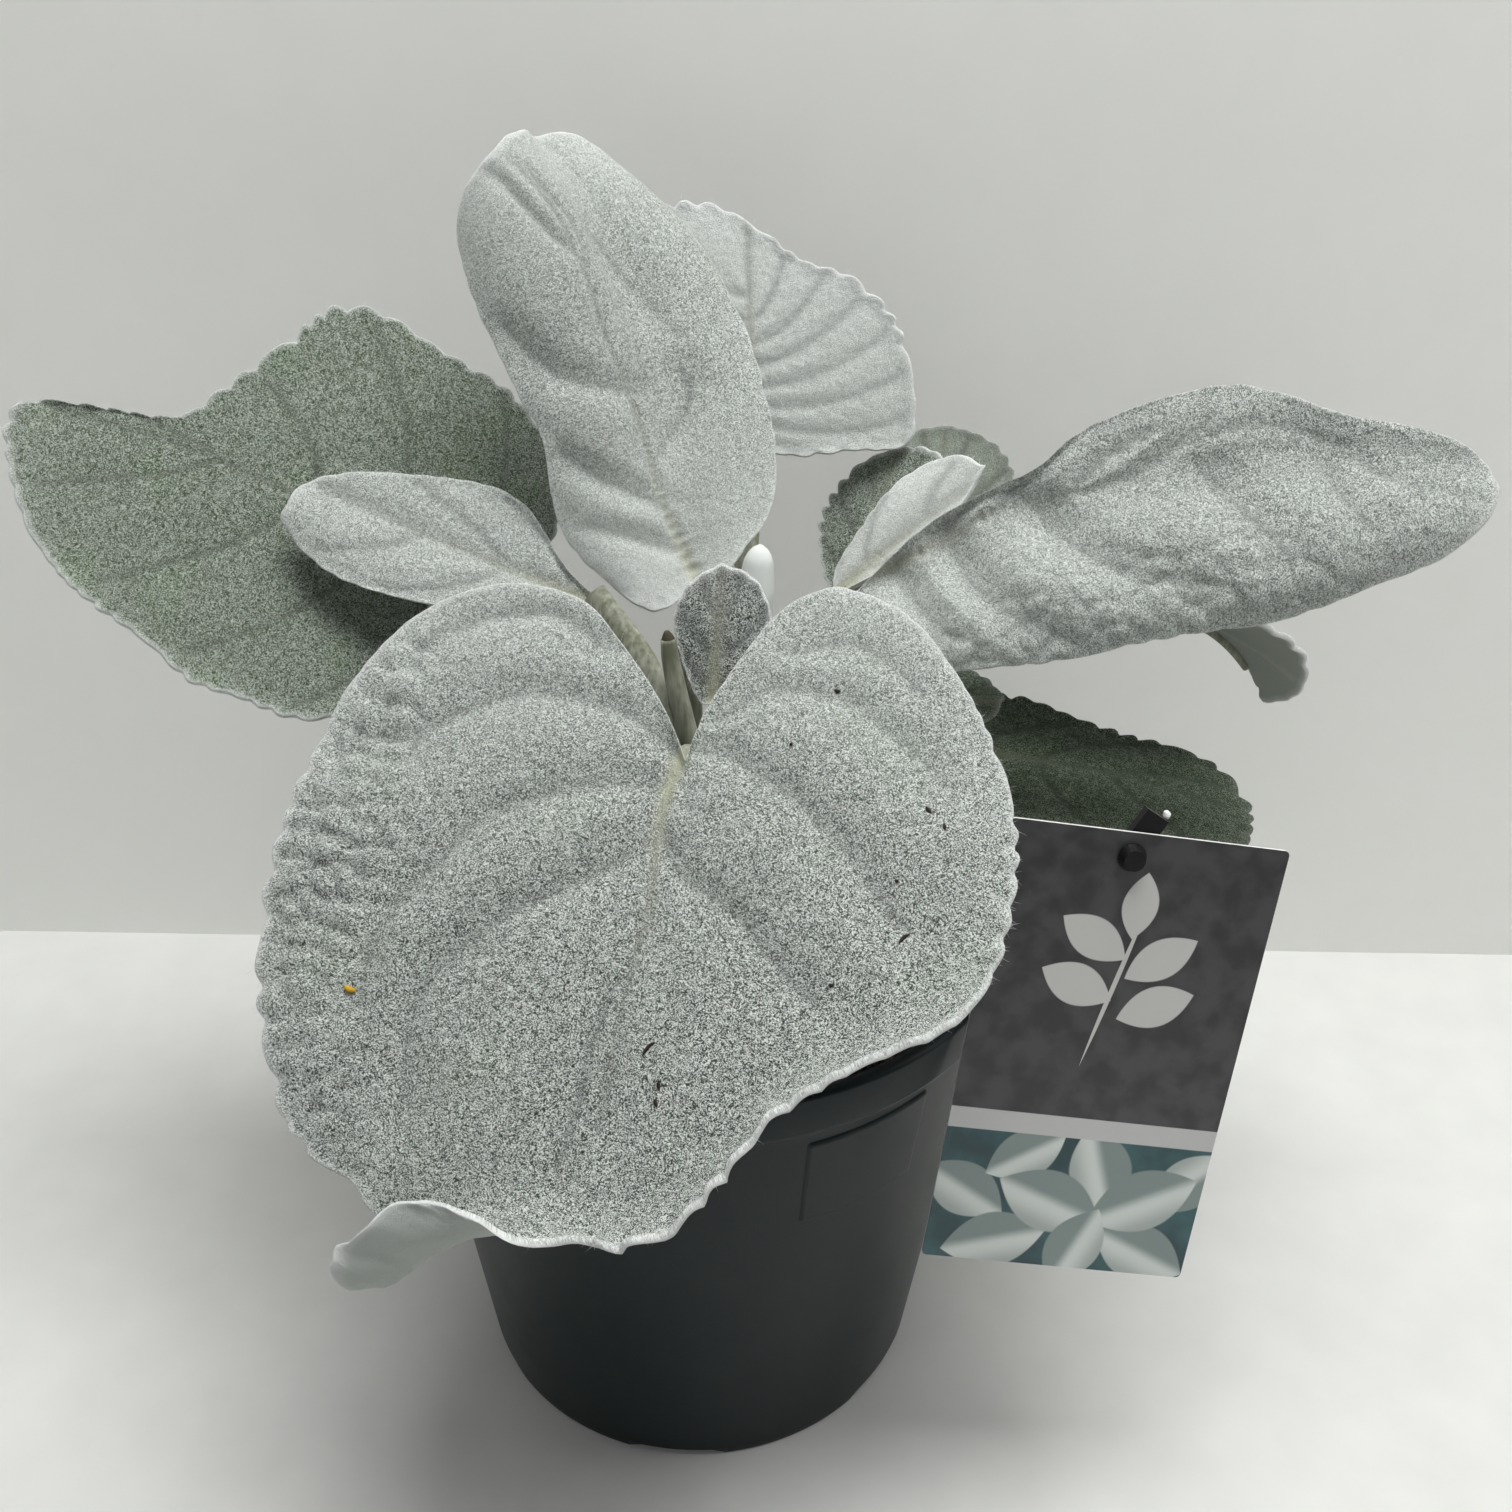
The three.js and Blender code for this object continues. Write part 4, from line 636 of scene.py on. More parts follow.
def tube(path, radii, sides, flatten=1.0):
    """A closed tube: rings square to the path, each a circle pressed by flatten, with capped ends.

    The ring's first direction is carried along the path without turning about it."""
    path = np.asarray(path, float)
    along = unit(np.gradient(path, axis=0))
    side = np.array([0.3, 0.2, 0.9]) if abs(along[0][2]) < 0.8 else np.array([1.0, 0, 0])
    first = np.empty_like(along)
    for k, direction in enumerate(along):
        side = unit(side - direction * side.dot(direction))
        first[k] = side
    second = flatten * np.cross(along, first)
    angle = np.linspace(0, 2 * np.pi, sides, endpoint=False)[:, None]
    circle = np.cos(angle) * first[:, None] + np.sin(angle) * second[:, None]
    rings = path[:, None] + np.asarray(radii, float)[:, None, None] * circle
    points = np.vstack([rings.reshape(-1, 3), path[:1], path[-1:]])
    count = len(path) * sides
    start = np.arange(sides)[::-1]
    end = np.arange(count - sides, count)
    caps = np.vstack([fan_faces(start, count), fan_faces(end, count + 1)])
    return points, [ring_faces(len(path), sides), caps]


def resampled(points, radii, count):
    """The points joined by a smooth curve, with the radii blended along its run."""
    knots = np.linspace(0, 1, len(points))
    return spline(points, count), np.interp(np.linspace(0, 1, count), knots, radii)


def rod(name, points, radii, count, sides, material, slot, flatten=1.0):
    """A closed tube of count rings along the smooth curve through the points."""
    path, radii = resampled(points, radii, count)
    return object_from(name, *tube(path, radii, sides, flatten), material, slot)


def bell(distance, width):
    """exp(-(distance / width)^2)."""
    return np.exp(-((distance / width) ** 2))


def blade_faces(rows, columns):
    """Faces of a blade's grid: its upper face, the strip round the margin and its lower face."""
    count = rows * columns
    lower = count + 1
    last = lower + (rows - 2) * columns
    margin = np.arange(columns)
    bridge = np.stack([margin, lower + margin, np.roll(lower + margin, -1), np.roll(margin, -1)], -1)
    walls = [ring_faces(rows, columns), bridge, ring_faces(rows - 1, columns, lower)[:, ::-1]]
    upper_cap = fan_faces(count - columns + margin, count)
    lower_cap = fan_faces(last + margin, last + columns)[:, ::-1]
    return [np.vstack(walls), np.vstack([upper_cap, lower_cap])]


def blade_grid(form, columns, rings):
    """The blade as two faces that meet in a rounded margin, with its flat places and attributes.

    Rows run from the margin inward. Next to the margin the half thickness follows a quarter circle,
    and beyond it stays even but for a slightly fuller band along the margin. Attributes are bells
    of the distance to the closest vein, the midrib and the margin, the wool, and the face."""
    edge = EDGE_RADIUS / np.hypot(form.half, form.length / 2)
    quarter = np.linspace(0, np.pi / 2, 5)
    r = np.r_[1 - edge * (1 - np.cos(quarter)), np.linspace(1 - edge, 0, rings)[1:-1]]
    full = np.r_[np.sin(quarter), np.ones(rings - 2)]
    R, U = np.meshgrid(r, np.linspace(-1, 1, columns, endpoint=False), indexing="ij")
    x, y, ruffle = form.flat(R, U)
    height, near, beside = form.relief(x, y, R)
    height = height + ruffle
    reach = (1 - R) * np.hypot(x, y - form.centre_y).max()
    half = full[:, None] * (HALF_THICKNESS + RIM_FULLNESS * bell(reach, RIM_WIDTH))
    vein = bell(near, 0.9)
    centre = np.array([0.0]), np.array([form.centre_y])
    middle = form.relief(*centre, np.array([0.0]))[0]
    top = form.place(x, y, height + half)
    below = form.place(x, y, height - half - VEIN_RISE_BELOW * vein * smooth((1 - R) / 0.1))[1:]
    points = np.vstack([
        top.reshape(-1, 3), form.place(*centre, middle + HALF_THICKNESS),
        below.reshape(-1, 3), form.place(*centre, middle - HALF_THICKNESS)])

    def per_point(values, at_centre):
        return np.r_[values.ravel(), at_centre, values[1:].ravel(), at_centre]

    flat = np.stack([per_point(x, 0), per_point(y, form.centre_y)], -1) / FLAT_UNIT
    # The wool attribute is partly the hair's thickness and partly painted light for how brightly each leaf
    # is lit.
    wool = form.leaf["wool"]
    attributes = {
        "vein": per_point(vein, 0),
        "rib": per_point(bell(beside, 1.5) * np.exp(-np.abs(y) / 16), 0),
        "rim": per_point(bell(reach, 1.1), 0),
        "band": per_point(bell(reach, 9), 0),
        "wool": per_point(quadratic(wool, y / form.length), quadratic(wool, 0)),
        "under": np.r_[np.zeros(x.size + 1), np.ones(len(points) - x.size - 1)],
    }
    return points, blade_faces(len(r), columns), flat, attributes


# Materials.
class Value:
    """A number in a material. Sums and products of values add the Math nodes that work them out."""

    def __init__(self, recipe, socket):
        self.recipe = recipe
        self.socket = socket

    def math(self, operation, *pair):
        return self.recipe.node("ShaderNodeMath", {"operation": operation}, dict(enumerate(pair)))

    def __add__(self, other):
        return self.math("ADD", self, other)

    def __sub__(self, other):
        return self.math("SUBTRACT", self, other)

    def __mul__(self, other):
        return self.math("MULTIPLY", self, other)

    def __truediv__(self, other):
        return self.math("DIVIDE", self, other)

    def __rsub__(self, other):
        return self.math("SUBTRACT", other, self)

    __radd__ = __add__

    def most(self, other):
        return self.math("MAXIMUM", self, other)

    def size(self):
        return self.math("ABSOLUTE", self)

    def over(self, low, high):
        """0 below low, 1 above high and smooth between."""
        inputs = {"Value": self, "From Min": low, "From Max": high}
        return self.recipe.node("ShaderNodeMapRange", {"interpolation_type": "SMOOTHSTEP"}, inputs)


class Recipe:
    """A new material and the calls that add nodes to it."""

    def __init__(self, name):
        self.material = bpy.data.materials.new(name)
        self.material.use_nodes = True
        self.tree = self.material.node_tree
        self.shader = self.tree.nodes["Principled BSDF"]

    def put(self, socket, value):
        """Links a value to a socket, or sets the socket's own number or colour."""
        if isinstance(value, Value):
            self.tree.links.new(value.socket, socket)
        elif socket.type == "RGBA":
            socket.default_value = (*value, 1)
        else:
            socket.default_value = value

    def node(self, kind, settings=None, inputs=None, output=0):
        """Adds a node, sets its settings and then its inputs, and returns one output."""
        node = self.tree.nodes.new(kind)
        for key, value in (settings or {}).items():
            setattr(node, key, value)
        for key, value in (inputs or {}).items():
            self.put(node.inputs[key], value)
        return Value(self, node.outputs[output])

    def place(self):
        return self.node("ShaderNodeTexCoord", output="Object")

    def attribute(self, name):
        return self.node("ShaderNodeAttribute", {"attribute_name": name}, output="Fac")

    def flat(self):
        return self.node("ShaderNodeUVMap", {"uv_map": "flat"})

    def noise(self, where, scale, detail=2.0, distortion=0.0, roughness=0.5):
        inputs = {"Vector": where, "Scale": scale, "Detail": detail, "Distortion": distortion}
        return self.node("ShaderNodeTexNoise", None, inputs | {"Roughness": roughness})

    def cells(self, where, scale):
        return self.node("ShaderNodeTexVoronoi", None, {"Vector": where, "Scale": scale}, "Distance")

    def blend(self, factor, one, other):
        """The first colour where the factor is 0, the second where it is 1."""
        mix = self.tree.nodes.new("ShaderNodeMix")
        mix.data_type = "RGBA"
        self.put(mix.inputs["Factor"], factor)
        colours = [socket for socket in mix.inputs if socket.type == "RGBA"]
        self.put(colours[0], one)
        self.put(colours[1], other)
        return Value(self, next(socket for socket in mix.outputs if socket.type == "RGBA"))

    def stretched(self, where, scale, turn=0.0):
        inputs = {"Vector": where, "Scale": scale, "Rotation": (0, 0, turn)}
        return self.node("ShaderNodeMapping", None, inputs)

    def bump(self, height, distance, strength=1.0):
        inputs = {"Height": height, "Distance": distance, "Strength": strength}
        return self.node("ShaderNodeBump", None, inputs)

    def finish(self, **sockets):
        for key, value in sockets.items():
            self.put(self.shader.inputs[key.replace("_", " ")], value)
        return self.material


def darker(colour, share):
    """The colour at this share of its brightness."""
    return tuple(c * share for c in colour)


def felt(name, hair, skin, cover, tint, patches, white_rim):
    """Woolly leaf: pale hairs lie in curls over a darker skin that shows between them.

    The curls are a warped noise in the blade's flat coordinates, one curl to about 0.5 mm. The
    blade's attributes say where the wool is thick, partly as painted light, where veins run and which
    face is the lower."""
    recipe = Recipe(name)
    flat = recipe.flat()
    keys = ("vein", "rib", "rim", "under", "wool", "band")
    vein, rib, rim, under, wool, band = (recipe.attribute(key) for key in keys)
    curls = recipe.noise(flat, 195, distortion=2.2, roughness=0.6)
    fine = recipe.noise(recipe.stretched(flat, (1.0, 1.9, 1.0), 0.7), 400, detail=1, distortion=1.0)
    broad = recipe.noise(flat, 7, detail=3)
    middling = recipe.noise(flat, 34, detail=3)
    speck = (curls * 0.68 + fine * 0.32).over(0.46, 0.55)
    # Wool lifts the hairs toward white: partly thick hair, partly painted light set for each leaf.
    lift = wool + cover + band * 0.2 + (broad - 0.5) * 0.3 + (middling - 0.5) * 0.7 - vein * 0.22
    hairs = (speck * 1.35 + lift - 0.44).over(-0.02, 0.82)
    coat = hairs.most(wool * 1.7)
    green = (recipe.noise(flat, 4) - 0.5).over(0.0, 0.2) * patches
    ground = recipe.blend(green, skin, tint)
    above = recipe.blend(coat, ground, recipe.blend(wool.over(0.2, 0.75), hair, DOWN_WHITE))
    above = recipe.blend(vein * 0.4, above, darker(hair, 0.27))
    above = recipe.blend(rib * 0.85, above, RIB_YELLOW)
    # Painted shade: the lower face is painted at 0.6 to 0.85 of the hair's brightness, darker than the
    # upper face, as the shade on the side turned from the light; it is paler along its veins.
    below = recipe.blend(fine * 0.4 + vein * 0.5, darker(hair, 0.6), darker(hair, 0.85))
    colour = recipe.blend(under, above, below)
    colour = recipe.blend(rim * white_rim, colour, DOWN_WHITE)
    wrinkles = recipe.noise(flat, 45)
    depth = recipe.bump(curls * 0.6 + fine * 0.3 + wrinkles * 0.8, 0.001, 0.8)
    return recipe.finish(Base_Color=colour, Roughness=0.95, Normal=depth, Sheen_Weight=0.1,
                         Sheen_Roughness=0.6, Specular_IOR_Level=0.15)


def stalk_finish():
    """Petiole: olive skin under pale down, paler where the down is thick, with fine lines along it."""
    recipe = Recipe("downy stalk")
    where = recipe.place()
    lines = recipe.noise(recipe.stretched(where, (1, 1, 0.12)), 900)
    patch = recipe.noise(where, 90, detail=3)
    down = (patch * 0.6 + lines * 0.4).over(0.35, 0.68)
    colour = recipe.blend(down, (0.115, 0.125, 0.075), (0.36, 0.375, 0.3))
    return recipe.finish(Base_Color=colour, Roughness=0.7, Normal=recipe.bump(lines, 0.0004, 0.6),
                         Sheen_Weight=0.15)


def pot_finish():
    """Dark green-black plastic: satin, with a little dust and pale scuffs."""
    recipe = Recipe("pot plastic")
    where = recipe.place()
    grain = recipe.noise(where, 2400)
    dust = recipe.noise(where, 42, detail=4)
    scuffs = recipe.noise(recipe.stretched(where, (1.0, 1.0, 5.0), 0.4), 150).over(0.7, 0.78)
    dusty = dust.over(0.5, 0.85) * 0.2 + scuffs * 0.2
    colour = recipe.blend(dusty, (0.0022, 0.0075, 0.0088), (0.04, 0.048, 0.046))
    return recipe.finish(Base_Color=colour, Roughness=0.34 + dusty * 0.4,
                         Normal=recipe.bump(grain, 0.00008, 0.3), Specular_IOR_Level=0.22)


def soil_finish():
    """Peaty compost: near-black crumb with brown fibre and paler grit."""
    recipe = Recipe("compost")
    where = recipe.place()
    crumb = recipe.noise(where, 420, detail=4, roughness=0.7)
    bits = recipe.cells(where, 330)
    grit = recipe.noise(where, 900, detail=1).over(0.68, 0.74)
    tone = recipe.blend(crumb.over(0.4, 0.7), (0.011, 0.008, 0.006), (0.07, 0.045, 0.027))
    colour = recipe.blend(grit, tone, (0.2, 0.17, 0.13))
    return recipe.finish(Base_Color=colour, Roughness=0.95, Normal=recipe.bump(crumb + bits * 0.5, 0.0016))


def plain_finish(name, colour, roughness, grain=2200, depth=0.0001):
    """One colour with a fine moulded grain."""
    recipe = Recipe(name)
    texture = recipe.noise(recipe.place(), grain)
    tone = recipe.blend(texture * 0.3, colour, tuple(min(1, c * 1.4 + 0.004) for c in colour))
    return recipe.finish(Base_Color=tone, Roughness=roughness, Normal=recipe.bump(texture, depth, 0.4),
                         Specular_IOR_Level=0.3)


def card_finish():
    """Printed card: a charcoal upper field with a pale sprig, a pale band, and leaf shapes on teal.

    Everything is drawn in the card's own coordinates, in millimetres: x right along the top edge, y
    through the card and z down. Its edge and back stay plain white board."""
    recipe = Recipe("printed card")
    spot = recipe.node("ShaderNodeMapping", {"vector_type": "TEXTURE"}, {
        "Vector": recipe.place(), "Location": tuple(v * MM for v in CARD_TOP_LEFT),
        "Rotation": card_matrix().to_euler()})
    parts = recipe.tree.nodes.new("ShaderNodeSeparateXYZ")
    recipe.put(parts.inputs[0], spot)
    x, y, z = (Value(recipe, parts.outputs[k]) * scale for k, scale in enumerate((1 / MM, 1 / MM, -1 / MM)))

    def leaf_shape(cx, cz, length, width, turn):
        """How far a point lies inside an ellipse pointed at both ends, and its side of the midline."""
        cos, sin = math.cos(turn), math.sin(turn)
        along = ((x - cx) * cos + (z - cz) * sin) / length
        across = ((z - cz) * cos - (x - cx) * sin) / width
        return (1 - (along * along + across.size())).over(-0.02, 0.06), across

    sprig = leaf_shape(*SPRIG_STALK)[0]
    for row in SPRIG_LEAVES:
        sprig = sprig.most(leaf_shape(*row)[0])
    mottle = recipe.noise(spot, 160, detail=3).over(0.35, 0.65)
    charcoal = recipe.blend(mottle, (0.022, 0.022, 0.023), (0.05, 0.05, 0.051))
    upper = recipe.blend(sprig, charcoal, (0.52, 0.52, 0.5))
    shade = recipe.noise(spot, 90, detail=3).over(0.3, 0.7)
    picture = recipe.blend(shade, (0.008, 0.035, 0.045), (0.03, 0.1, 0.11))
    for row in PICTURE_LEAVES:
        shape, across = leaf_shape(*row)
        halves = recipe.blend(across.over(-0.25, 0.15), (0.2, 0.25, 0.24), (0.6, 0.64, 0.61))
        leaf = recipe.blend(across.over(0.2, 0.9), halves, (0.36, 0.4, 0.38))
        picture = recipe.blend(shape, picture, leaf)
    front = recipe.blend(z.over(BAND_TOP, BAND_TOP + 0.2), upper, (0.5, 0.5, 0.49))
    front = recipe.blend(z.over(BAND_FOOT, BAND_FOOT + 0.2), front, picture)
    colour = recipe.blend(y.over(CARD_FACE, CARD_FACE - 0.06), (0.72, 0.72, 0.7), front)
    return recipe.finish(Base_Color=colour, Roughness=0.38, Coat_Weight=0.25,
                         Normal=recipe.bump(recipe.noise(spot, 900), 0.00005, 0.3))


# Pot.
def pot_radius(z):
    """The outer wall's radius at height z: a straight taper from the base."""
    return POT_BASE_RADIUS + (POT_RIM_RADIUS - RIM_STEP - POT_BASE_RADIUS) * z / POT_HEIGHT


def turned(profile, sides):
    """A profile of (radius, height) pairs swept round the Z axis, ended on the axis by two fans."""
    profile = np.asarray(profile, float)
    angle = np.linspace(0, 2 * np.pi, sides, endpoint=False)
    ring = np.stack([np.cos(angle), np.sin(angle)], -1)
    body = profile[1:-1]
    points = np.concatenate([body[:, None, :1] * ring, np.repeat(body[:, 1:, None], sides, 1)], -1)
    points = np.vstack([points.reshape(-1, 3), [[0, 0, profile[0, 1]], [0, 0, profile[-1, 1]]]])
    count = len(body) * sides
    first = fan_faces(np.arange(sides)[::-1], count)
    last = fan_faces(np.arange(count - sides, count), count + 1)
    return points, [ring_faces(len(body), sides), np.vstack([first, last])]


def rounded(profile, corner, steps=4):
    """The profile with each inner corner cut back by up to corner and replaced by a short arc."""
    p = np.asarray(profile, float)
    t = np.linspace(0, 1, steps)[:, None]
    out = [p[:1]]
    for before, here, after in zip(p[:-2], p[1:-1], p[2:]):
        one = before - here
        two = after - here
        reach = min(corner, np.linalg.norm(one) * 0.45, np.linalg.norm(two) * 0.45)
        out.append(parabola(here + unit(one) * reach, here, here + unit(two) * reach, t))
    out.append(p[-1:])
    return np.vstack(out)


def cutter(points, faces):
    """A bare object from points in millimetres, to be cut out of another."""
    mesh = bpy.data.meshes.new("cutter")
    mesh.from_pydata((points * MM).tolist(), [], [face for block in faces for face in block.tolist()])
    return linked("cutter", mesh)


def cut(piece, cutters):
    """Cuts each cutter out of the piece's own mesh with a Boolean and removes the cutters."""
    for tool in cutters:
        change = piece.modifiers.new("cut", "BOOLEAN")
        change.operation = "DIFFERENCE"
        change.solver = "EXACT"
        change.object = tool
    graph = bpy.context.evaluated_depsgraph_get()
    result = bpy.data.meshes.new_from_object(piece.evaluated_get(graph))
    piece.modifiers.clear()
    old = piece.data
    piece.data = result
    bpy.data.meshes.remove(old)
    for tool in cutters:
        mesh = tool.data
        bpy.data.objects.remove(tool)
        bpy.data.meshes.remove(mesh)


def foot_cutters(turn):
    """One foot notch, an arched block that runs out through the wall, and the drainage hole in it."""
    angle = math.radians(turn)
    out = np.array([math.cos(angle), math.sin(angle), 0])
    side = np.array([-out[1], out[0], 0])
    across = np.linspace(-1, 1, 9)
    arch = FOOT_NOTCH_HEIGHT * (1 - across**8 * 0.6)
    inner = out * (POT_BASE_RADIUS - FOOT_NOTCH_DEPTH) + side * across[:, None] * FOOT_NOTCH_WIDTH / 2
    top = inner + np.array([0, 0, 1]) * arch[:, None]
    loop = np.vstack([inner - np.array([0, 0, 3]), top[::-1]])
    ends = np.arange(len(loop))[None]
    block = np.vstack([loop, loop + out * FOOT_NOTCH_DEPTH * 2])
    notch = cutter(block, [ring_faces(2, len(loop)), ends[:, ::-1], ends + len(loop)])
    points, faces = turned([(0, -5), (DRAIN_HOLE_RADIUS, -5), (DRAIN_HOLE_RADIUS, 10), (0, 10)], 32)
    return [notch, cutter(points + out * DRAIN_HOLE_PITCH_RADIUS, faces)]


def make_pot():
    """The pot: a turned wall with a rim band, its foot notches and drainage holes cut out, and the
    low label pad on the wall under the rim."""
    shoulder = POT_HEIGHT - RIM_BAND_HEIGHT
    wall = [(pot_radius(z), z) for z in np.linspace(FOOT_NOTCH_HEIGHT + 1, shoulder - 1.5, 24)]
    rim = [(POT_RIM_RADIUS, shoulder + 0.5), (POT_RIM_RADIUS, POT_HEIGHT),
           (POT_RIM_RADIUS - RIM_TOP_WIDTH, POT_HEIGHT),
           (pot_radius(POT_HEIGHT) - POT_WALL - 1, POT_HEIGHT - 1.8)]
    bottom = [(pot_radius(POT_FLOOR) - POT_WALL, POT_FLOOR), (0, POT_FLOOR)]
    profile = rounded([(0, 0), (POT_BASE_RADIUS, 0), *wall, *rim, *bottom], POT_CORNER)
    pot = object_from("pot_finished", *turned(profile, 240), pot_finish(), "pot")
    cutters = []
    for i in range(FOOT_NOTCHES):
        cutters += foot_cutters(FOOT_NOTCH_PHASE + 360 * i / FOOT_NOTCHES)
    cut(pot, cutters)
    make_label_pad(pot.data.materials[0])
    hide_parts("pot")


def make_label_pad(material):
    """A low pad on the wall: a bent grid between two angles and heights, with rounded sides."""
    A, Z = np.meshgrid(np.linspace(0, 1, 60), np.linspace(0, 1, 40), indexing="ij")
    edge = smooth(np.minimum(A, 1 - A) / 0.035) * smooth(np.minimum(Z, 1 - Z) / 0.05)
    angle = np.radians(PAD_FROM + (PAD_TO - PAD_FROM) * A)
    z = PAD_LOW + (PAD_HIGH - PAD_LOW) * Z
    outer = pot_radius(z) - PAD_SUNK + (PAD_STEP + PAD_SUNK) * edge
    points = np.vstack([
        np.stack([radius * np.cos(angle), radius * np.sin(angle), z], -1).reshape(-1, 3)
        for radius in (outer, pot_radius(z) - PAD_BACK)])
    grid = np.arange(A.size).reshape(A.shape)
    front = np.stack([grid[:-1, :-1], grid[1:, :-1], grid[1:, 1:], grid[:-1, 1:]], -1).reshape(-1, 4)
    rear = front[:, ::-1] + A.size
    border = np.r_[grid[:, 0], grid[-1, 1:], grid[-2::-1, -1], grid[0, -2:0:-1]]
    following = np.roll(border, -1)
    sides = np.stack([following, border, border + A.size, following + A.size], -1)
    object_from("pot_label_pad", points, [front, rear, sides], material, "pot")


# Soil and stem.
def soil_height(r, reach):
    """The soil's even height at radius r: a low mound that drops toward its edge at reach."""
    return SOIL_LEVEL + SOIL_MOUND * (1 - (r / SOIL_MOUND_RADIUS) ** 2) - SOIL_EDGE_DROP * (r / reach) ** 6


def make_soil():
    """Compost: rings of a disc lifted by three sizes of lumps, a wall and a foot, with loose crumbs."""
    top_edge = pot_radius(SOIL_LEVEL) - POT_WALL - SOIL_GAP
    foot_edge = pot_radius(POT_FLOOR) - POT_WALL - SOIL_FOOT_GAP
    rings = np.linspace(0, 1, 74)[1:]
    angle = np.linspace(0, 2 * np.pi, 260, endpoint=False)
    R, A = np.meshgrid(rings * top_edge, angle, indexing="ij")
    x = R * np.cos(A)
    y = R * np.sin(A)
    rough = sum((lumps(x, y, size, seed) - 0.5) * high
                for size, seed, high in ((9, 11, 2.6), (3.1, 12, 1.8), (1.3, 13, 0.8)))
    z = soil_height(R, top_edge) + rough * smooth((1 - R / top_edge) / 0.05)
    lower = np.stack([foot_edge * np.cos(angle), foot_edge * np.sin(angle), np.full(260, SOIL_FOOT)], -1)
    grid = np.stack([x, y, z], -1).reshape(-1, 3)
    centres = [[0, 0, SOIL_LEVEL + SOIL_MOUND], [0, 0, SOIL_FOOT]]
    crumbs, crumb_faces = soil_crumbs(top_edge)
    points = np.vstack([grid, lower, centres, crumbs])
    columns = len(angle)
    rows = len(rings) + 1
    count = rows * columns
    top_fan = fan_faces(np.arange(columns), count)
    foot_fan = fan_faces(np.arange(count - columns, count)[::-1], count + 1)
    faces = [ring_faces(rows, columns)[:, ::-1], np.vstack([top_fan, foot_fan, crumb_faces + count + 2])]
    soil = object_from("soil_finished", points, faces, soil_finish(), "soil")
    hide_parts("soil")


def soil_crumbs(reach):
    """Loose bits: flattened octahedra of 0.6 to 2.6 mm, each turned at random, half sunk in."""
    rng = np.random.default_rng(21)
    r = reach * 0.97 * np.sqrt(rng.random(CRUMBS))
    a = rng.random(CRUMBS) * 2 * np.pi
    size = 0.6 + 2.0 * rng.random(CRUMBS) ** 3
    basis = np.linalg.qr(rng.normal(size=(CRUMBS, 3, 3)))[0]
    basis[:, :, 2] *= np.sign(np.linalg.det(basis))[:, None]
    corners = np.array([(1, 0, 0), (-1, 0, 0), (0, 1, 0), (0, -1, 0), (0, 0, 1), (0, 0, -1)], float)
    stretch = [np.ones(CRUMBS), 0.4 + 0.6 * rng.random(CRUMBS), 0.3 + 0.4 * rng.random(CRUMBS)]
    shape = corners * np.stack(stretch, -1)[:, None] * size[:, None, None]
    shape = np.einsum("nij,nkj->nki", basis, shape * (0.8 + 0.4 * rng.random((CRUMBS, 6, 1))))
    middle = np.stack([r * np.cos(a), r * np.sin(a), soil_height(r, reach) + size * 0.25], -1)
    points = shape + middle[:, None]
    upper = [(0, 2, 4), (2, 1, 4), (1, 3, 4), (3, 0, 4)]
    lower = [(2, 0, 5), (1, 2, 5), (3, 1, 5), (0, 3, 5)]
    faces = np.array(upper + lower) + 6 * np.arange(CRUMBS)[:, None, None]
    return points.reshape(-1, 3), faces.reshape(-1, 3)


def make_stem(material):
    """The short stem: a turned form with leaf scars as shallow rings, ending in a dome."""
    shoulder = STEM_TOP - STEM_DOME
    heights = np.r_[STEM_FOOT, np.linspace(STEM_FOOT + 0.8, shoulder, 60)]
    radii = STEM_RADIUS - 0.5 * smooth((heights - 118) / 20) - 0.25 * np.abs(np.sin(heights * 0.55))
    dome = np.linspace(0, np.pi / 2, 10)[1:-1]
    profile = [(0, STEM_FOOT), *zip(radii, heights)]
    profile += [(radii[-1] * math.cos(t), shoulder + STEM_DOME * math.sin(t)) for t in dome]
    stem = object_from("stem_finished", *turned(profile + [(0, STEM_TOP)], 40), material, "stem")
    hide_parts("stem")


# Leaves.
def held_inside(leaf, x, y, room, far):
    """Moves a midrib's x so that past the height far it stays room mm inside the margins."""
    left, right = (np.array([p for p in leaf[side] if p[1] > far], float) for side in ("left", "right"))
    low = np.interp(y, left[:, 1], left[:, 0]) + room
    high = np.interp(y, right[:, 1], right[:, 0]) - room
    held = np.where(low < high, np.clip(x, low, np.maximum(low, high)), (low + high) / 2)
    return np.where(y <= far, x, held)


def stalk_tube(leaf, form):
    """Petiole and midrib as one tapered tube: up the stalk's places, then on beneath the blade.

    It starts a little below the first of these places and nearer the stem."""
    radius = leaf["stalk_radius"]
    count = len(leaf["stalk"])
    x, y, z = leaf["stalk"][0]
    foot = (0.875 * x, 0.875 * y, z - 0.75)
    stalk_radii = radius * (STALK_FULLNESS - STALK_TAPER * np.arange(count) / count)
    share = np.linspace(0.02, MIDRIB_END, 12)
    r = MIDRIB_TIP_RADIUS + (radius * 0.85 - MIDRIB_TIP_RADIUS) * (1 - share) ** 1.3
    y = share * form.tip_y
    x = np.interp(y, form.veins[0][:, 1], form.veins[0][:, 0]) * smooth(share / 0.25)
    x = held_inside(leaf, x, y, 2 * r + 1.5, 0.5 * form.tip_y)
    z = form.relief(x, y, np.zeros(len(y)))[0] - 0.6 - 0.95 * r
    points = np.vstack([foot, leaf["stalk"], form.place(x, y, z)])
    return tube(*resampled(points, np.r_[radius * STALK_FULLNESS, stalk_radii, r], 90), 14)


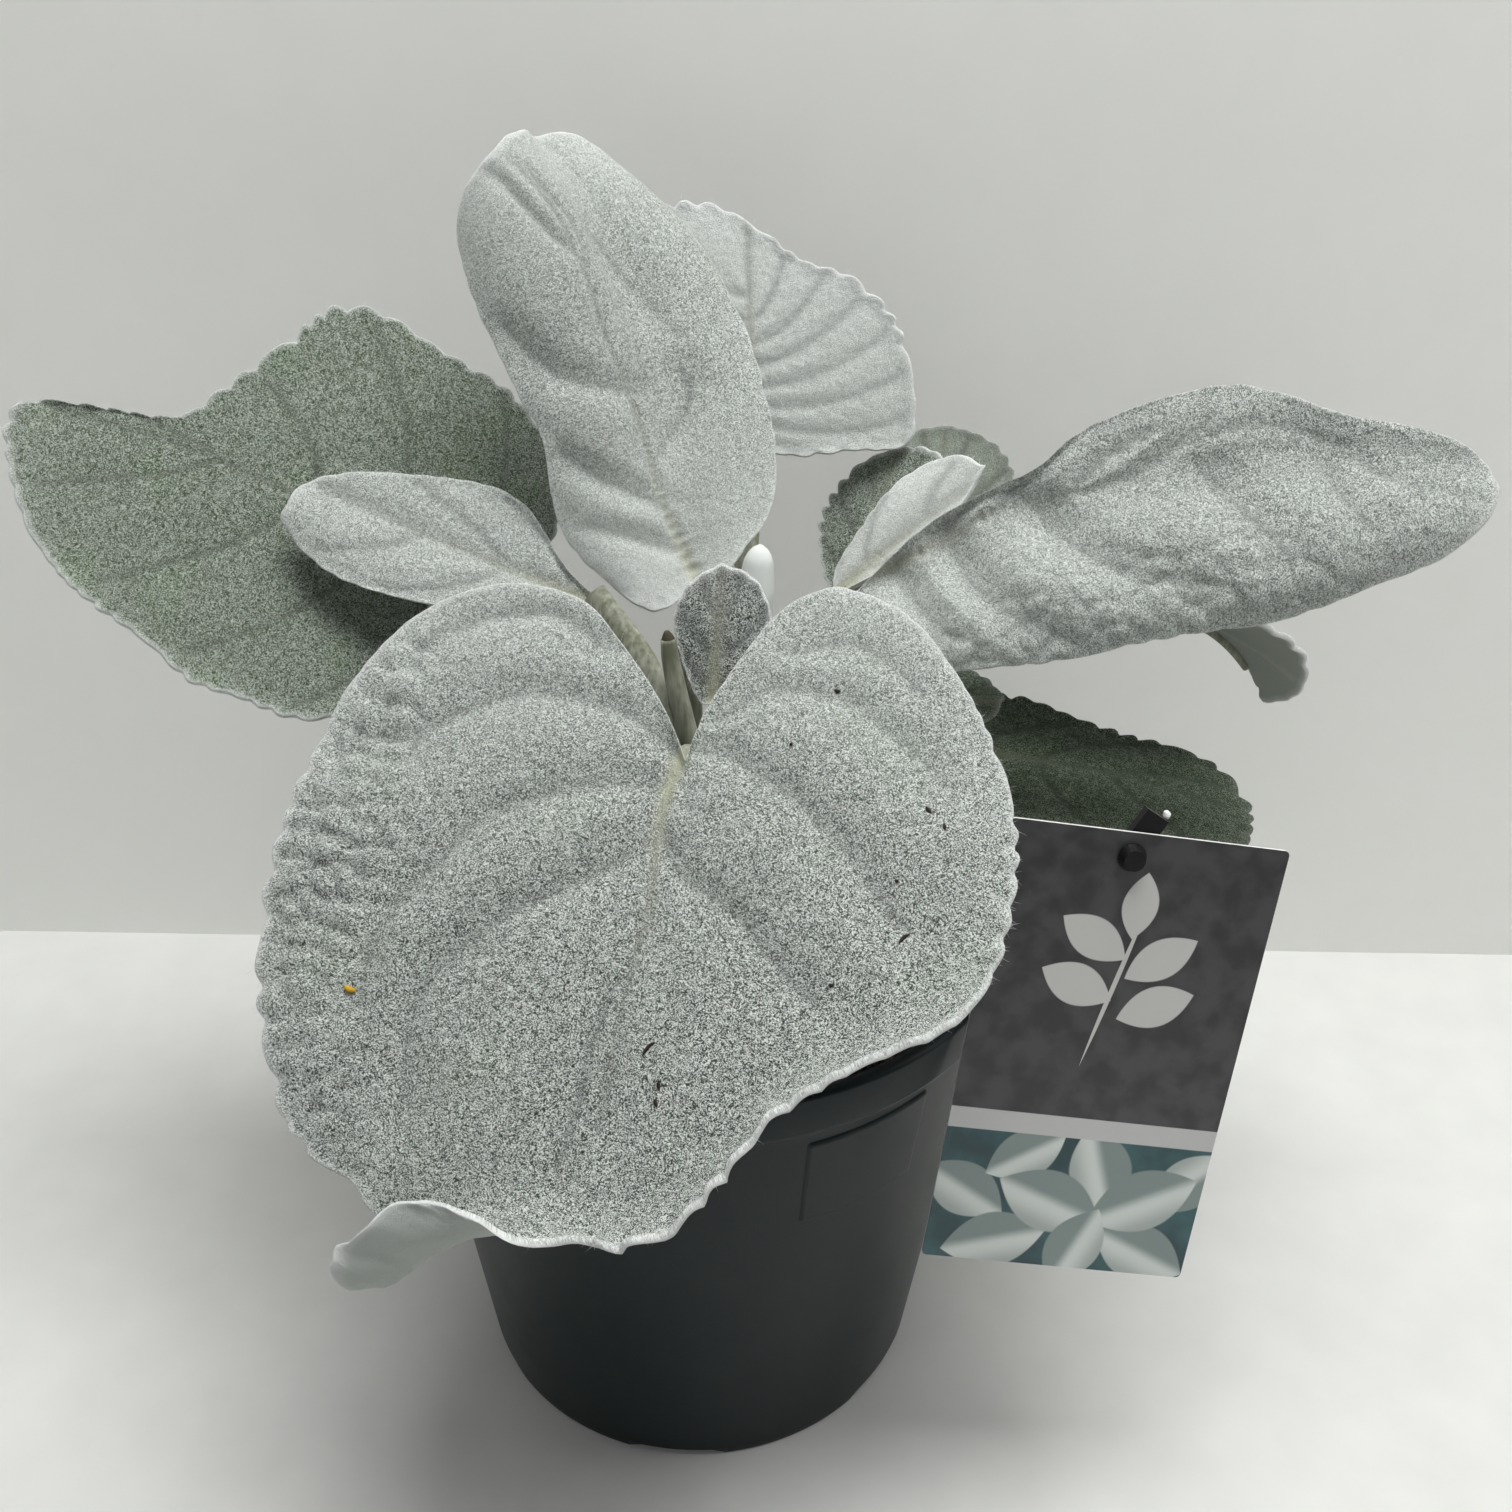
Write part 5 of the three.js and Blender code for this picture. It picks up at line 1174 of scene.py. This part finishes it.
def make_leaf(leaf, materials, detail):
    """One leaf: its blade as a fine grid, and its petiole with the midrib as a second shell."""
    form = LeafForm(leaf)
    columns = int(np.clip(form.around / detail, *COLUMN_LIMITS)) // 2 * 2
    rings = int(np.clip((0.34 * form.half + 0.3 * form.length) / detail, *RING_LIMITS))
    points, faces, flat, values = blade_grid(form, columns, rings)
    kind = leaf["kind"]
    blade = object_from(leaf["name"] + "_blade", points, faces, materials[kind], kind, flat, values)
    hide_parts(leaf["name"])
    object_from(leaf["name"] + "_stalk", *stalk_tube(leaf, form), materials["stalk"], "stem")
    return form


def make_shoot(material):
    """The furled young leaf: a tapered finger that narrows to its rounded tip."""
    points = [(3.2, 3.4, 153), (7, 9, 166), (10, 13, 178), (11.5, 15.5, 189), (12.4, 17.4, 198.8)]
    path, radii = resampled(points, [2, 2.6, 4.4, 4.0, 2.6], 60)
    share = np.linspace(0, 1, 60)
    radii = radii * np.sqrt(np.clip(1 - ((share - 0.9) / 0.1).clip(0, 1) ** 2, 0.02, 1))
    ring, faces = tube(path, radii, 28)
    levels = {"vein": 0.0, "rim": 0.4, "under": 0.0, "wool": 0.45}
    values = {key: np.full(len(ring), level) for key, level in levels.items()}
    shoot = object_from("shoot_tip_finished", ring, faces, material, "silver", values=values)
    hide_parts("shoot_tip")


def make_cut_stalks(material):
    """Two old petioles among the young ones: a stub with a dried brown end and one that runs on up
    behind the young leaf."""
    rod("cut_stalk", [(2, -5, 150), (-1, -12, 168), (-4.4, -10.5, 184), (-5.2, -10, 190.4)],
        [2.4, 2.2, 1.9, 1.5], 30, 14, material, "stem")
    dried = plain_finish("dried tissue", (0.06, 0.05, 0.032), 0.9)
    rod("cut_stalk_end", [(-5.1, -9.9, 189.8), (-5.3, -9.9, 191), (-5.5, -9.9, 192)],
        [1.5, 1.1, 0.5], 8, 12, dried, "stem")
    rod("old_stalk", [(0, -6, 148), (-3, -12.5, 167), (-10, -6, 182), (-21, 6, 192.5)],
        [2.6, 2.8, 3, 2.6], 30, 16, material, "stem", flatten=0.5)


def make_down(forms):
    """Loose hairs on the leaf margins: thin three-sided spikes of 0.6 to 2.6 mm that point away
    from the blade, each turned a little at random."""
    rng = np.random.default_rng(33)
    spikes = []
    for form in forms:
        u = rng.uniform(-0.97, 0.97, int(form.around * HAIRS_PER_MM))
        edge, back = (form.margin_place(u, r) for r in (0.998, 0.97))
        way = unit(unit(edge - back) + rng.normal(0, HAIR_SPREAD, (len(u), 3)))
        length = 0.6 + 2.0 * rng.random(len(u)) ** 4
        side = HAIR_RADIUS * unit(np.cross(way, rng.normal(size=(len(u), 3))))
        other = np.cross(way, side)
        start = edge - way * 0.2
        spikes.append(np.stack([start + side, start - side * 0.5 + other * 0.87,
                                start - side * 0.5 - other * 0.87, start + way * length[:, None]], 1))
    points = np.concatenate(spikes)
    corners = np.array([(0, 1, 3), (1, 2, 3), (2, 0, 3), (2, 1, 0)])
    faces = corners + 4 * np.arange(len(points))[:, None, None]
    white = plain_finish("loose hairs", (0.8, 0.82, 0.8), 0.9)
    object_from("margin_down", points.reshape(-1, 3), [faces.reshape(-1, 3)], white, "silver")


def make_specks(form):
    """Small slivers of dry matter that lie on the front leaf, and one yellow grain."""
    dark = plain_finish("dry matter", (0.022, 0.014, 0.01), 0.8)
    yellow = plain_finish("pollen", (0.5, 0.3, 0.03), 0.9)
    rows = [(*bit, [0.12, 0.36, 0.3, 0.1], dark) for bit in DARK_BITS]
    rows.append((*POLLEN_BIT, [0.35, 0.6, 0.5, 0.3], yellow))
    for number, (x, y, dx, dy, length, radii, material) in enumerate(rows, 1):
        share = np.array([-0.5, -0.15, 0.2, 0.5])
        bow = 0.12 * length * np.array([0, 1, 0.6, 0])
        px = x + dx * length * share - dy * bow
        py = y + dy * length * share + dx * bow
        pz = form.relief(px, py, np.full(4, 0.6))[0] + 0.75
        rod("debris_%02d" % number, form.place(px, py, pz), radii, 10, 8, material, "silver")


# Label.
def card_matrix():
    """The card's own axes, turned by its yaw, then its lean, then its roll."""
    yaw = Matrix.Rotation(math.radians(CARD_YAW), 3, "Z")
    lean = Matrix.Rotation(math.radians(CARD_LEAN), 3, "X")
    roll = Matrix.Rotation(math.radians(-CARD_ROLL), 3, "Y")
    return yaw @ lean @ roll


def dress(name, material):
    """Gives the solid of this name its finish."""
    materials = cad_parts[name].data.materials
    materials.clear()
    materials.append(material)


def make_label():
    """The card's finish goes on its solid; the clip's solid gets its plastic and a torn white tip."""
    dress("label_card", card_finish())
    dress("label_clip", plain_finish("black clip plastic", (0.006, 0.006, 0.0065), 0.32))
    turn = np.array(card_matrix())
    tip = np.array(CARD_TOP_LEFT) + turn @ np.array(TORN_TIP)
    path = tip + np.array([(-0.5, 0, 1.0), (-0.1, 0.0, 0.9), (0.3, 0, 0.4), (0.6, 0, -0.2)]) @ turn.T
    torn = plain_finish("torn plastic", (0.75, 0.75, 0.73), 0.6)
    rod("clip_torn_tip", path, [0.2, 0.7, 0.8, 0.2], 16, 10, torn, "clip")


# Stage.
def axes_matrix(right, up, back, place):
    """The matrix of an object whose own axes point these ways, at a place in metres."""
    turn = Matrix(np.stack([right, up, back], -1).tolist()).to_4x4()
    turn.translation = place
    return turn


def make_camera():
    """The camera looks down by CAMERA_DOWN and is rolled; its lens comes from the focal length in
    pixels of the square picture."""
    down = math.radians(CAMERA_DOWN)
    roll = math.radians(CAMERA_ROLL)
    ahead = np.array([0, math.cos(down), -math.sin(down)])
    up = np.array([0, math.sin(down), math.cos(down)])
    right = np.array([1.0, 0, 0])
    lens = bpy.data.cameras.new("camera")
    lens.sensor_width = SENSOR
    lens.lens = SENSOR * FOCAL_PIXELS / PHOTO_PIXELS
    lens.clip_start = 0.01
    camera = linked("camera", lens)
    camera.matrix_world = axes_matrix(
        right * math.cos(roll) + up * math.sin(roll), up * math.cos(roll) - right * math.sin(roll),
        -ahead, [v * MM for v in CAMERA_PLACE])
    bpy.context.scene.camera = camera


def make_light(name, place, aim, size, power, colour):
    """A square soft light at place, in metres, facing aim."""
    lamp = bpy.data.lights.new(name, "AREA")
    lamp.size = size
    lamp.energy = power
    lamp.color = colour
    back = unit(np.array(place, float) - np.array(aim, float))
    side = unit(np.cross([0, 1, 0.01], back))
    linked(name, lamp).matrix_world = axes_matrix(side, np.cross(back, side), back, place)


def make_sheet(name, corner, across, down, paint):
    """A flat plain rectangle from its corner and two sides, in metres."""
    corner, across, down = (np.array(v, float) for v in (corner, across, down))
    mesh = bpy.data.meshes.new(name)
    corners = [corner, corner + down, corner + down + across, corner + across]
    mesh.from_pydata(corners, [], [(0, 1, 2, 3)])
    mesh.materials.append(paint)
    linked(name, mesh)


def sheet_paint(name, colour):
    """Matt paint with a coarse faint grain."""
    return plain_finish(name, colour, 0.8, grain=60, depth=0.0002)


def clear_behind(material):
    """Makes a sheet clear from its back, so that the wall hides nothing from behind."""
    tree = material.node_tree
    output = tree.nodes["Material Output"]
    paint = output.inputs["Surface"].links[0].from_socket
    side = tree.nodes.new("ShaderNodeNewGeometry")
    clear = tree.nodes.new("ShaderNodeBsdfTransparent")
    mix = tree.nodes.new("ShaderNodeMixShader")
    tree.links.new(side.outputs["Backfacing"], mix.inputs[0])
    tree.links.new(paint, mix.inputs[1])
    tree.links.new(clear.outputs[0], mix.inputs[2])
    tree.links.new(mix.outputs[0], output.inputs["Surface"])
    return material


def make_room(scene):
    """The even pale light from all round, and plain display of colours."""
    world = bpy.data.worlds.new("pale room")
    world.use_nodes = True
    sky = world.node_tree.nodes["Background"]
    sky.inputs["Color"].default_value = (0.95, 0.97, 1, 1)
    sky.inputs["Strength"].default_value = ROOM_LIGHT
    scene.world = world
    scene.view_settings.view_transform = "Standard"


# The add-on.
class SenecioPlant(bpy.types.PropertyGroup):
    detail: FloatProperty(
        name="Blade detail", description="Distance between a blade's points, in millimetres",
        default=0.85, min=0.5, max=4)
    hair_colour: FloatVectorProperty(
        name="Hair colour", description="Colour of the white wool on the silver leaves",
        default=(0.745, 0.79, 0.742), subtype="COLOR", min=0, max=1)
    skin_colour: FloatVectorProperty(
        name="Skin colour", description="Colour of the leaf's skin between the hairs",
        default=(0.026, 0.036, 0.025), subtype="COLOR", min=0, max=1)


class SenecioStage(bpy.types.PropertyGroup):
    floor_size: FloatProperty(
        name="Floor size", description="Half the width of the floor",
        default=1.6, unit="LENGTH", min=0.3)
    wall_distance: FloatProperty(
        name="Wall distance", description="From the pot's middle to the wall",
        default=0.14, unit="LENGTH", min=0.14)
    light_power: FloatProperty(
        name="Light power", description="Power of the main soft light, in watts",
        default=18.8, unit="POWER", min=0)


class SENECIO_OT_pot(bpy.types.Operator):
    """Makes the nursery pot with its notches, holes and label pad"""
    bl_idname = "senecio.pot"
    bl_label = "Pot"

    def execute(self, context):
        make_pot()
        return {"FINISHED"}


class SENECIO_OT_soil(bpy.types.Operator):
    """Makes the compost that fills the pot"""
    bl_idname = "senecio.soil"
    bl_label = "Soil"

    def execute(self, context):
        make_soil()
        return {"FINISHED"}


class SENECIO_OT_leaves(bpy.types.Operator):
    """Makes the stem, the leaves on their stalks and the furled shoot"""
    bl_idname = "senecio.leaves"
    bl_label = "Leaves"

    def execute(self, context):
        plant = context.scene.senecio_plant
        silver = felt("silver felt", tuple(plant.hair_colour), tuple(plant.skin_colour), **SILVER_FELT)
        grey = felt("thin grey felt", **GREY_FELT)
        green = felt("green leaf", **GREEN_FELT)
        stalk = stalk_finish()
        materials = {"silver": silver, "green_grey": grey, "green": green, "stalk": stalk}
        make_stem(stalk)
        forms = [make_leaf(leaf, materials, plant.detail) for leaf in LEAVES]
        make_shoot(silver)
        make_cut_stalks(stalk)
        make_down(forms)
        make_specks(forms[0])
        return {"FINISHED"}


class SENECIO_OT_label(bpy.types.Operator):
    """Finishes the plant label and its clip"""
    bl_idname = "senecio.label"
    bl_label = "Label"

    def execute(self, context):
        make_label()
        return {"FINISHED"}


class SENECIO_OT_stage(bpy.types.Operator):
    """Makes the pale floor and wall, the soft lights and the camera"""
    bl_idname = "senecio.stage"
    bl_label = "Stage"

    def execute(self, context):
        stage = context.scene.senecio_stage
        size = stage.floor_size
        wall = stage.wall_distance
        floor_paint = sheet_paint("floor paint", FLOOR_COLOUR)
        wall_paint = clear_behind(sheet_paint("wall paint", WALL_COLOUR))
        make_sheet("floor", (-size, size, 0), (2 * size, 0, 0), (0, -2 * size, 0), floor_paint)
        make_sheet("wall", (-size, wall, size), (2 * size, 0, 0), (0, 0, -size), wall_paint)
        for name, (place, aim, width, share, colour) in LIGHTS.items():
            make_light(name, place, aim, width, stage.light_power * share, colour)
        make_room(context.scene)
        make_camera()
        return {"FINISHED"}


class SENECIO_PT_panel(bpy.types.Panel):
    """The senecio's pieces and sizes"""
    bl_idname = "SENECIO_PT_panel"
    bl_label = "Senecio"
    bl_space_type = "VIEW_3D"
    bl_region_type = "UI"
    bl_category = "Senecio"

    def draw(self, context):
        for group in (context.scene.senecio_plant, context.scene.senecio_stage):
            box = self.layout.box()
            for name in group.__annotations__:
                box.prop(group, name)
        for operator in OPERATORS:
            self.layout.operator(operator.bl_idname)


OPERATORS = (SENECIO_OT_pot, SENECIO_OT_soil, SENECIO_OT_leaves, SENECIO_OT_label, SENECIO_OT_stage)
CLASSES = (SenecioPlant, SenecioStage, *OPERATORS, SENECIO_PT_panel)


def register():
    for one in CLASSES:
        bpy.utils.register_class(one)
    bpy.types.Scene.senecio_plant = PointerProperty(type=SenecioPlant)
    bpy.types.Scene.senecio_stage = PointerProperty(type=SenecioStage)


def unregister():
    del bpy.types.Scene.senecio_stage
    del bpy.types.Scene.senecio_plant
    for one in reversed(CLASSES):
        bpy.utils.unregister_class(one)


def main():
    register()
    bpy.ops.senecio.pot()
    bpy.ops.senecio.soil()
    bpy.ops.senecio.leaves()
    bpy.ops.senecio.label()
    bpy.ops.senecio.stage()


if __name__ == "__main__":
    main()
